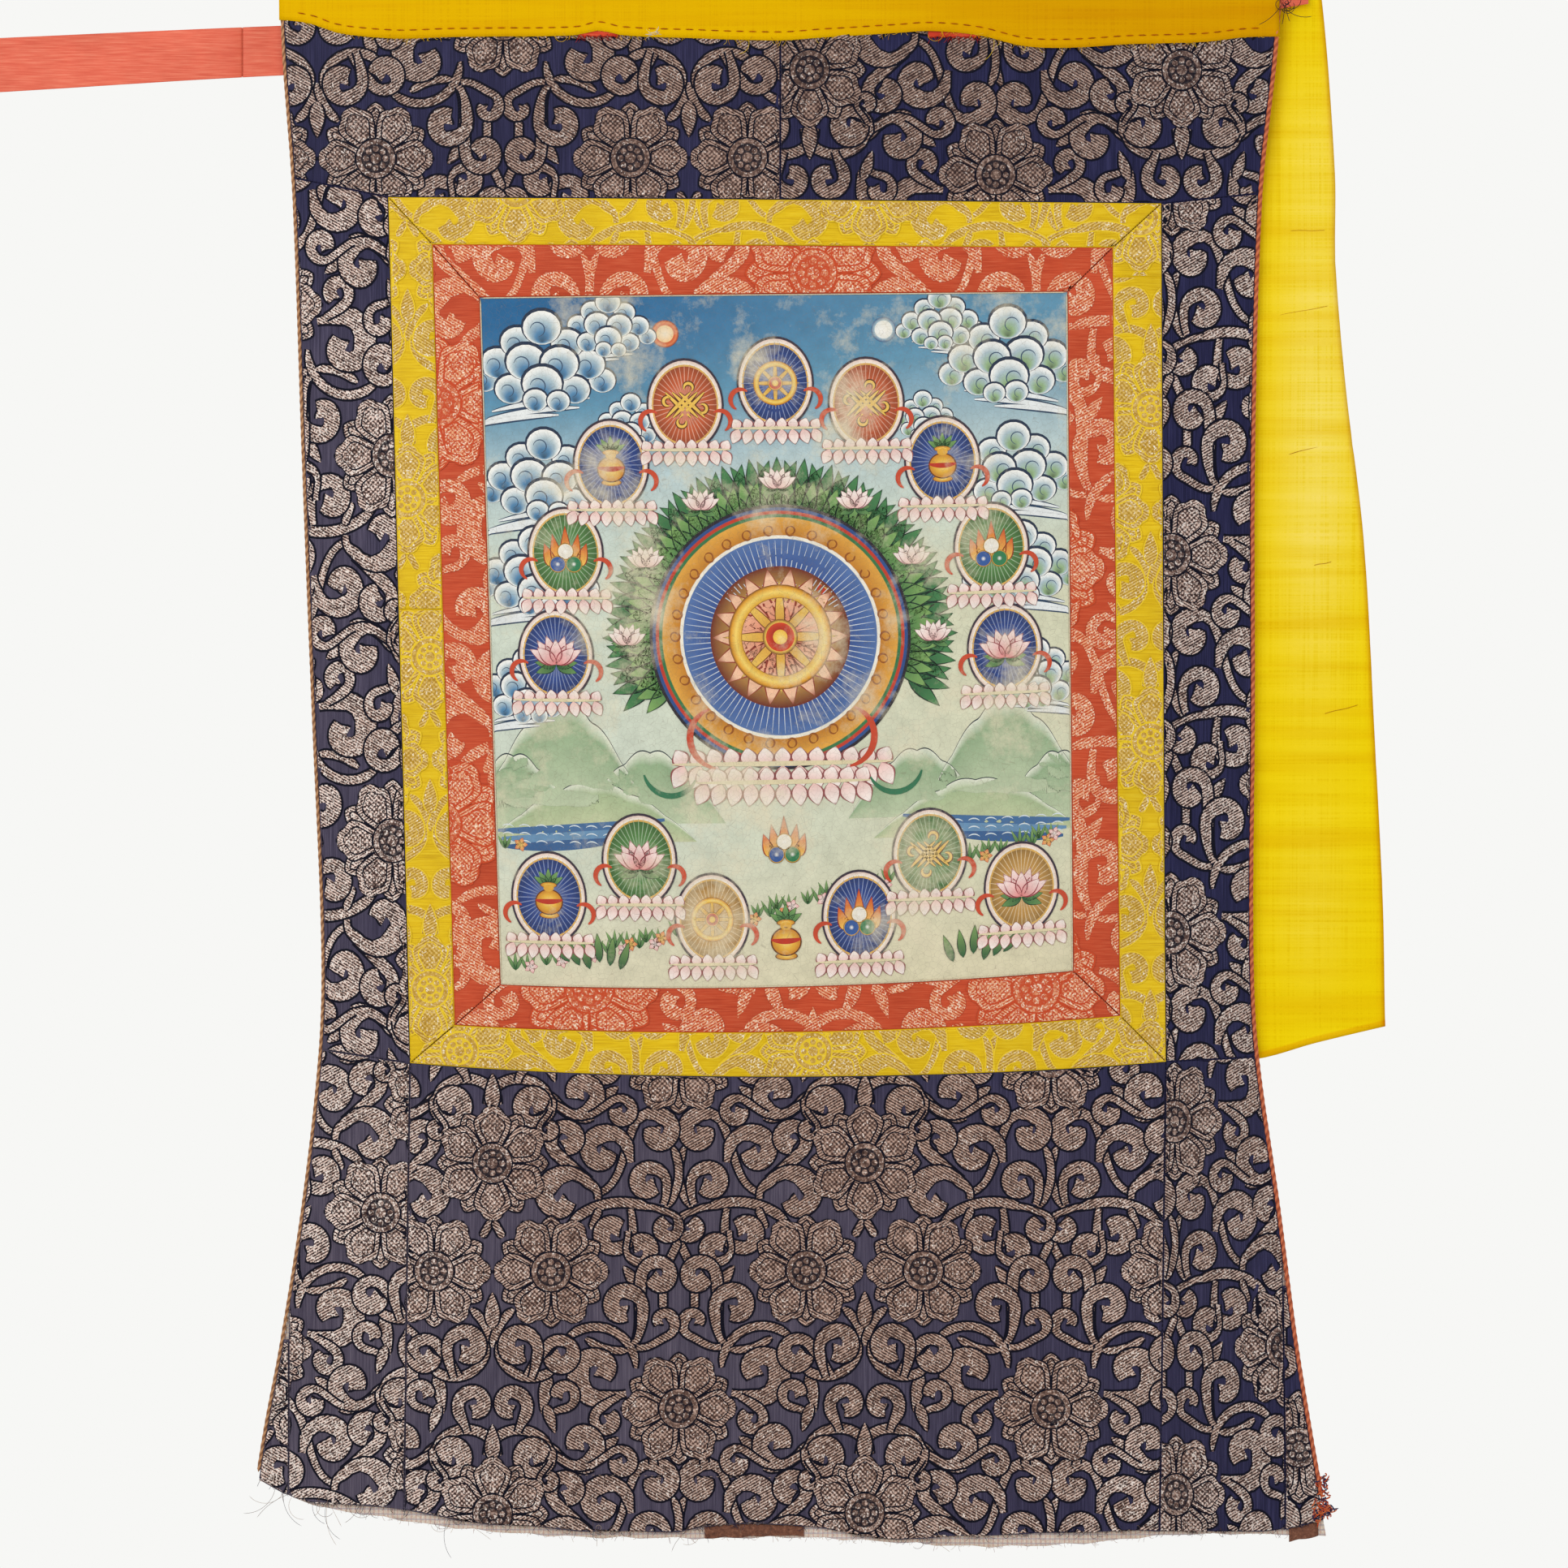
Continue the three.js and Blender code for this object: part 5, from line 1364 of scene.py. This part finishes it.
def veil_fall(s, share):
    """The veil behind, from its hem (share 0) up to the fold: it follows the hung surface, a little nearer
    to it below the top, in round upright folds and small level creases."""
    across, drop = between((veil_left, veil_right, veil_hem, always(FOLD_DROP)), s, share)
    grown = smooth(drop, FOLD_DROP, 0.5)
    depth = 0.0085 + hung_depth(across, drop) * smooth(drop, FOLD_DROP, 0.2)
    depth = depth - 0.003 * smooth(drop, 0.13, 0.3)
    for x, reach, height in np.array(VEIL_FOLDS) / 1000:
        depth = depth + height * grown * bell(across - x, reach)
    for z, height in np.array(VEIL_CREASES) / 1000:
        depth = depth + height * bell(drop - z - 0.01 * np.sin(across * 9), 0.0035)
    return np.stack([across, depth, -drop], -1)


def veil_flap(s, share):
    """The veil's front flap, from the fold (share 0) to its raw edge: it closes on the brocade as it falls
    and bulges over what lies under it."""
    across = VEIL_WIDTH * (s - 0.5)
    drop = lerp(FOLD_DROP, veil_front(across), share)
    depth = lerp(-0.0035, -0.00174, share)
    for x, reach, lift in np.array(VEIL_BULGES) / 1000:
        depth = depth - lift * bell(across - x, reach / 2) * smooth(share, 0, 1)
    ripple = 0.0009 * np.sin(across * 83 + 3 * share) * np.sin(across * 31) * share
    return np.stack([across, depth + ripple + hung_depth(across, drop) * share, -drop], -1)


def veil_middle(s, t):
    """The veil's middle surface: the fall up to t 0.8, a half ellipse over the hanging edge up to t 0.9, and
    the flap beyond it."""
    turn = np.pi * np.clip((t - 0.8) / 0.1, 0, 1)
    across = lerp(veil_fall(s, 1)[..., 0], VEIL_WIDTH * (s - 0.5), smooth(t, 0.8, 0.9))
    over = np.stack([across, 0.0025 + 0.006 * np.cos(turn), -FOLD_DROP + 0.0065 * np.sin(turn)], -1)
    fall, flap = veil_fall(s, np.clip(t / 0.8, 0, 1)), veil_flap(s, np.clip((t - 0.9) / 0.1, 0, 1))
    return np.where((t < 0.8)[..., None], fall, np.where((t < 0.9)[..., None], over, flap))


def veil_normal(s, t):
    """The direction out of the veil's outer face, from the cross product of small steps along t and s."""
    along_s = veil_middle(np.minimum(s + 1e-3, 1), t) - veil_middle(np.maximum(s - 1e-3, 0), t)
    along_t = veil_middle(s, np.minimum(t + 1e-3, 1)) - veil_middle(s, np.maximum(t - 1e-3, 0))
    normal = np.cross(along_t, along_s)
    return normal / np.linalg.norm(normal, axis=-1, keepdims=True)


veil_silk, tree, shader, place = new_material("veil_silk", 0.5, Specular_IOR_Level=0.02)
slub = add_noise(tree, add_stretch(tree, place, 9.0, 9.0, 620.0), 1.0, 3.0)
warp = add_noise(tree, add_stretch(tree, place, 620.0, 30.0, 7.0), 1.0, 3.0)
weave = add_math(tree, "ADD", slub, warp)
streak = add_ramp(tree, weave, (0.72, (0.94, 0.89, 0.6, 1)), (0.9, 1), (1.0, (1.02, 1.03, 1.6, 1)))
cloud = add_noise(tree, add_stretch(tree, place, 2.5, 2.5, 48.0), 1.0, 4.0)
patch = add_ramp(tree, cloud, (0.35, (0.95, 0.87, 0.5, 1)), (0.52, 1), (0.66, (1.03, 1.05, 1.6, 1)))
shade = add_mix(tree, 1.0, add_value(tree, "tone", "Color"), streak, "MULTIPLY")
dress(tree, shader, add_mix(tree, 1.0, shade, patch, "MULTIPLY"), weave, 0.3, 0.0005)
columns = np.concatenate([np.linspace(0, 0.9, 80), np.linspace(0.91, 1, 19)])
rows = np.concatenate([[0, 0.004, 0.0055], np.linspace(0.007, 0.79, 100), np.linspace(0.8, 0.9, 13),
                       np.linspace(0.906, 1, 16)])
s, t = np.meshgrid(columns, rows)
middle, normal = veil_middle(s, t), veil_normal(s, t)
hemmed = t < 0.005
thick = np.where(hemmed, 0.0008, 0.0003)[..., None]
points = np.stack([middle + normal * thick, middle - normal * thick])
front_part = smooth(t, 0.8, 0.9)
selvedge = (1 - smooth(1 - s, 0.002, 0.006)) * (t < 0.8)
x, drop = middle[..., 0], -middle[..., 2]
pale = bell(drop - 0.43, 0.13) + 0.25 * bell(drop - 0.2, 0.05) + 0.2 * bell(drop - 0.86, 0.05)
pale = bell(x - 0.478, 0.022) * pale
shaded = smooth(0.468 - 0.1 * drop - x, 0, 0.012) * (1 - smooth(drop, 0.1, 0.3))
tone = np.array(dye(246, 213, 4))
front_tone = lerp(np.array(dye(228, 178, 0)), np.array(dye(216, 156, 0)), smooth(x, 0.0, 0.3)[..., None])
for part, colour in ((front_part, front_tone), (hemmed * 0.45 + selvedge * 0.7, dye(228, 148, 0)),
                     (0.75 * pale * (1 - front_part), dye(252, 228, 84)),
                     (0.5 * shaded * (1 - front_part), dye(212, 162, 6))):
    tone = lerp(tone, np.array(colour), part[..., None])
tone = np.concatenate([tone.reshape(-1, 4)] * 2)
veil = new_piece("veil_cloth", points.reshape(-1, 3), sheet_faces(*s.shape), veil_silk, tone=tone)
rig.slot(veil, "veil_silk")
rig.replaces(veil, "veil")
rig.ride(veil, "root")
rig.sheet(veil, flat=(0.887, 1.10), held="hung", rests_on=["lining"])

# Ribbon: a faded salmon-red silk ribbon sewn from two lengths, tied round the back for rolling up, and the
# frayed ends of two streamers caught under the veil's front edge.
RIBBON_COURSE = ((-760, 118, 48), (-691, 114.5, 48), (-441, 101.5, 44), (0, 85, 43), (300, 66, 43),
                 (480, 37, 43))  # across, drop, width
RIBBON_JOIN = -0.477
STREAMERS = {"left": (-0.178, -0.142), "right": (0.132, 0.178)}
ribbon_course, ribbon_width = curve(RIBBON_COURSE, 1), curve(RIBBON_COURSE, 2)
ribbon_silk = new_silk("ribbon_silk", (218, 90, 66), (231, 108, 82), (240, 132, 104), 0.4)
above = lambda across: ribbon_course(across) - ribbon_width(across) / 2
below = lambda across: ribbon_course(across) + ribbon_width(across) / 2
for name, start, end in (("tail", -0.735, RIBBON_JOIN - 0.0002), ("band", RIBBON_JOIN + 0.0002, 0.470)):
    ribbon_edges = (always(start), always(end), above, below)
    ribbon = new_cloth("ribbon_cloth_" + name, "ribbon_" + name, ribbon_edges, (0.0034, 0.0039), ribbon_silk,
                       0.008, OPEN_ENDS)
    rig.slot(ribbon, "ribbon_silk")
    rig.sheet(ribbon, held="hung", rests_on=["lining"], **cut_size(ribbon_edges))
streamer_silk = new_silk("streamer_silk", (186, 46, 26), (216, 66, 36), (234, 100, 66), 0.45)
for name, foot in (("left", 0.091), ("right", 0.092)):
    ragged = lambda across, foot=foot: foot - 0.001 + 0.0014 * np.sin(across * 900) * np.sin(across * 210)
    stub_edges = (*map(always, STREAMERS[name]), always(0.060), ragged)
    stub = new_cloth("streamer_cloth_" + name, "streamer_end_" + name, stub_edges, (-0.0021, -0.0015),
                     streamer_silk, 0.003, (0, 0, 0, 1))
    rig.slot(stub, "ribbon_silk")
    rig.sheet(stub, held="hung", rests_on=["veil"], **cut_size(stub_edges))

# Stitches and loose threads: dark sewing thread in the mitred seams, a cream cord round the painting, the
# veil's running stitches, and the ends that hang from torn and raw edges, each a thin round strand.
DARK_SEAM, SEAM_FRONT = (16, 13, 24), 0.0004
VEIL_TONES = ((226, 176, 10), (206, 146, 8), (240, 204, 60))
thread_cotton, tree, shader, place = new_material("thread_cotton", 0.85, Specular_IOR_Level=0.1)
tone = add_ramp(tree, add_noise(tree, place, 700.0), (0.3, 0.75), (0.7, 1.1))
dress(tree, shader, add_mix(tree, 1.0, add_value(tree, "tint", "Color"), tone, "MULTIPLY"))
chance = np.random.default_rng(11)


def on_cloth(across, drop, front):
    """Points a little in front of the hung surface."""
    across, drop = np.broadcast_arrays(across, drop)
    return np.stack([across, hung_depth(across, drop) - front, -drop], -1)


def strands(name, slot, paths, radius, colours):
    """Thin round threads along paths, drawn to a point at both ends, in a row of colours by turns."""
    count, rows = paths.shape[:2]
    full = np.minimum(1, np.minimum(np.arange(rows), np.arange(rows)[::-1]))
    rings = tubes(paths, radius * full[None, :, None], 4)
    tint = np.array([dye(*colour) for colour in colours])[np.arange(count) % len(colours)]
    tint = np.repeat(tint, rows * 4, 0)
    piece = new_piece(name, rings.reshape(-1, 3), tube_faces(count, rows, 4), thread_cotton, tint=tint)
    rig.slot(piece, slot)
    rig.ride(piece, "root")


def stitches(lines, pitch, length, lift):
    """Stitches along lines of points: every pitch a low arch of five points, its height a half sine."""
    paths = []
    for line in lines:
        far = np.concatenate([[0], np.cumsum(np.linalg.norm(np.diff(line, axis=0), axis=-1))])
        at = np.arange(pitch / 2, far[-1] - length, pitch)[:, None] + np.linspace(0, length, 5)
        path = np.stack([np.interp(at, far, line[:, i]) for i in range(3)], -1)
        path[..., 1] -= lift * np.sin(np.linspace(0, np.pi, 5))
        paths.append(path)
    return np.concatenate(paths)


def loose(starts, heading, shortest, longest, spread, curl, rows=6):
    """Loose threads from their starts: each leaves near a heading, turned by a random spread, and curls
    evenly by a random angle along a random length, drifting towards the viewer."""
    count = len(starts)
    s, size = np.linspace(0, 1, rows), (count, 1)
    length = lerp(shortest, longest, chance.random(size) ** 2)
    angle = np.radians(heading) + spread * chance.normal(size=size) + curl * chance.normal(size=size) * s
    step = towards(angle) * length[..., None] / (rows - 1)
    away = np.cumsum(step, 1) - step[:, :1]
    near = 0.15 * length * s * chance.random(size)
    return starts[:, None] + np.stack([away[..., 0], -near, -away[..., 1]], -1)


def scatter(*rows):
    """Random numbers, from pairs of ends and how many lie between them."""
    return np.concatenate([chance.uniform(*row) for row in rows])


share = np.linspace(0, 1, 60)
mitres = []
for outer, inner, front in ((yellow_edges, red_edges, 0.0009), (red_edges, canvas_edges, 0.0007)):
    for a, b in zip(outer[4], inner[4]):
        mitres.append(on_cloth(*lerp(a, b, share[:, None]).T, front))
strands("mitre_stitches", "red_silk", stitches(mitres, 0.0026, 0.0024, 0.0002), 0.00026, ((58, 26, 18),))
low = np.linspace(0.99, 1.405, 60)
seams = [on_cloth(seam(low), low, SEAM_FRONT) for seam in (seam_left, seam_right)]
for seam, start, end in ((top_left_seam, -0.431, -0.349), (top_right_seam, 0.341, 0.422),
                         (foot_left_seam, -0.404, -0.33), (foot_right_seam, 0.346, 0.42)):
    x = lerp(start, end, share)
    seams.append(on_cloth(x, seam(x), SEAM_FRONT))
for x, start, end in ((TOP_SEAM, 0.09, 0.232), (GUSSETS[0], 1.25, 1.372), (GUSSETS[1], 1.2, 1.408)):
    seams.append(on_cloth(x, lerp(start, end, share), SEAM_FRONT))
strands("mount_stitches", "brocade", stitches(seams, 0.004, 0.0036, 0.0002), 0.0002, (DARK_SEAM,))
side = np.linspace(0.001, 0.999, 120)
rim = [on_cloth(*between(canvas_edges, s, t), 0.0006)
       for s, t in ((side, 0.0012), (side, 0.9988), (0.0014, side), (0.9986, side))]
strands("painting_cord", "painted_canvas", np.stack(rim), 0.0006, ((224, 210, 182),))
join = lerp(above(RIBBON_JOIN), below(RIBBON_JOIN), np.linspace(0.01, 0.99, 40))
strands("ribbon_seam", "ribbon_silk", on_cloth(RIBBON_JOIN, join, -0.0036)[None], 0.0005, ((206, 92, 68),))
tacking = on_cloth(np.linspace(-0.331, 0.018, 80), lerp(1.362, 1.369, np.linspace(0, 1, 80)), 0.0021)
strands("hem_stitches", "brocade", stitches([tacking], 0.0058, 0.0026, 0.0003), 0.0003, ((176, 152, 140),))
s = np.linspace(0.012, 0.988, 400)
front_edge = veil_front(VEIL_WIDTH * (s - 0.5))
tacked = veil_flap(s, 1 - 0.0075 / (front_edge - FOLD_DROP)) - (0, 0.0005, 0)
strands("veil_stitches", "veil_silk", stitches([tacked], 0.0112, 0.0078, 0.0005), 0.00042,
        ((186, 92, 8), (168, 74, 14)))
s = np.linspace(0, 1, 24)
pulled = [veil_fall(lerp(a, b, s), lerp(c, d, s) + 0.0003 * np.sin(7 * s)) - (0, 0.0006, 0) for a, b, c, d in
          ((0.935, 0.978, 0.541, 0.546), (0.94, 0.99, 0.667, 0.671), (0.948, 0.966, 0.437, 0.438),
           (0.955, 0.99, 0.742, 0.74), (0.95, 0.985, 0.3, 0.303))]
strands("veil_pulls", "veil_silk", np.stack(pulled), 0.0002, ((190, 122, 8), (214, 158, 30)))
s = np.sort(chance.random(300))
raw_edge = veil_flap(s, 0.99)
strands("veil_fray", "veil_silk", loose(raw_edge, -90, 0.0015, 0.008, 0.5, 1.5), 0.00016, VEIL_TONES)
drawn = raw_edge[[92, 150, 205, 212, 216, 219, 280]]
strands("veil_threads", "veil_silk", loose(drawn, -80, 0.012, 0.03, 0.6, 3, 12), 0.0002, VEIL_TONES[::2])
x = scatter((-0.462, 0.474, 520))
starts = on_cloth(x, torn_hem(x) - 0.0012, 0.0006)
strands("hem_fray", "brocade", loose(starts, -90, 0.002, 0.01, 0.7, 2.6), 0.00017,
        ((36, 32, 60), (54, 50, 80), (96, 74, 68), (140, 114, 102)))
x = scatter((-0.466, -0.36, 22), (-0.3, -0.285, 12), (-0.17, -0.16, 6), (-0.085, -0.07, 6), (0.12, 0.135, 5),
            (-0.34, 0.44, 8))
starts = on_cloth(x, torn_hem(x) - 0.001, 0.0006)
strands("hem_threads", "brocade", loose(starts, -90, 0.014, 0.04, 0.9, 3.6, 14), 0.00015,
        ((40, 36, 62), (120, 96, 86), (196, 176, 158)))
x = scatter((-0.39, 0.474, 320))
starts = on_cloth(x, frayed_hem(x) - 0.0008, -0.0018)
strands("lining_fray", "lining_cotton", loose(starts, -90, 0.0015, 0.007, 0.5, 1.4), 0.00015,
        ((216, 200, 182), (200, 176, 168), (178, 164, 170)))
x = scatter((0.479, 0.486, 60), (0.48, 0.488, 90), (0.474, 0.482, 50))
drop = scatter((1.366, 1.388, 60), (1.391, 1.4, 90), (1.386, 1.406, 50))
strands("corner_tuft", "piping_cord", loose(on_cloth(x, drop, 0.0012), -60, 0.002, 0.009, 0.8, 3), 0.0006,
        ((204, 92, 52), (196, 78, 44), (40, 36, 66), (220, 122, 76), (56, 50, 84)))
for name, foot, bright in (("left", 0.0895, (176, 40, 28)), ("right", 0.0905, (186, 52, 36))):
    starts = on_cloth(scatter((*STREAMERS[name], 60)), foot, 0.0019)
    strands("streamer_fray_" + name, "ribbon_silk", loose(starts, -90, 0.002, 0.008, 0.5, 1.2), 0.00018,
            (bright, (150, 32, 24)))
tuft = on_cloth(scatter((-0.122, -0.108, 26)), scatter((0.086, 0.086, 26)), 0.0023)
strands("white_tuft", "lining_cotton", loose(tuft, -90, 0.003, 0.011, 0.6, 2.5, 8), 0.00022,
        ((232, 226, 214), (206, 196, 184)))
tangle = on_cloth(scatter((0.444, 0.449, 12)), scatter((0.06, 0.068, 12)), 0.006)
strands("thread_tangle", "brocade", loose(tangle, -84, 0.014, 0.034, 0.35, 4, 14), 0.00026,
        ((58, 40, 40), (36, 30, 44)))

visual_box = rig.bounds()
with open("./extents.json", "w") as out:
    json.dump({name: [list(map(float, corner)) for corner in box] for name, box in
               (("cad", cad_box), ("visual", visual_box))}, out)
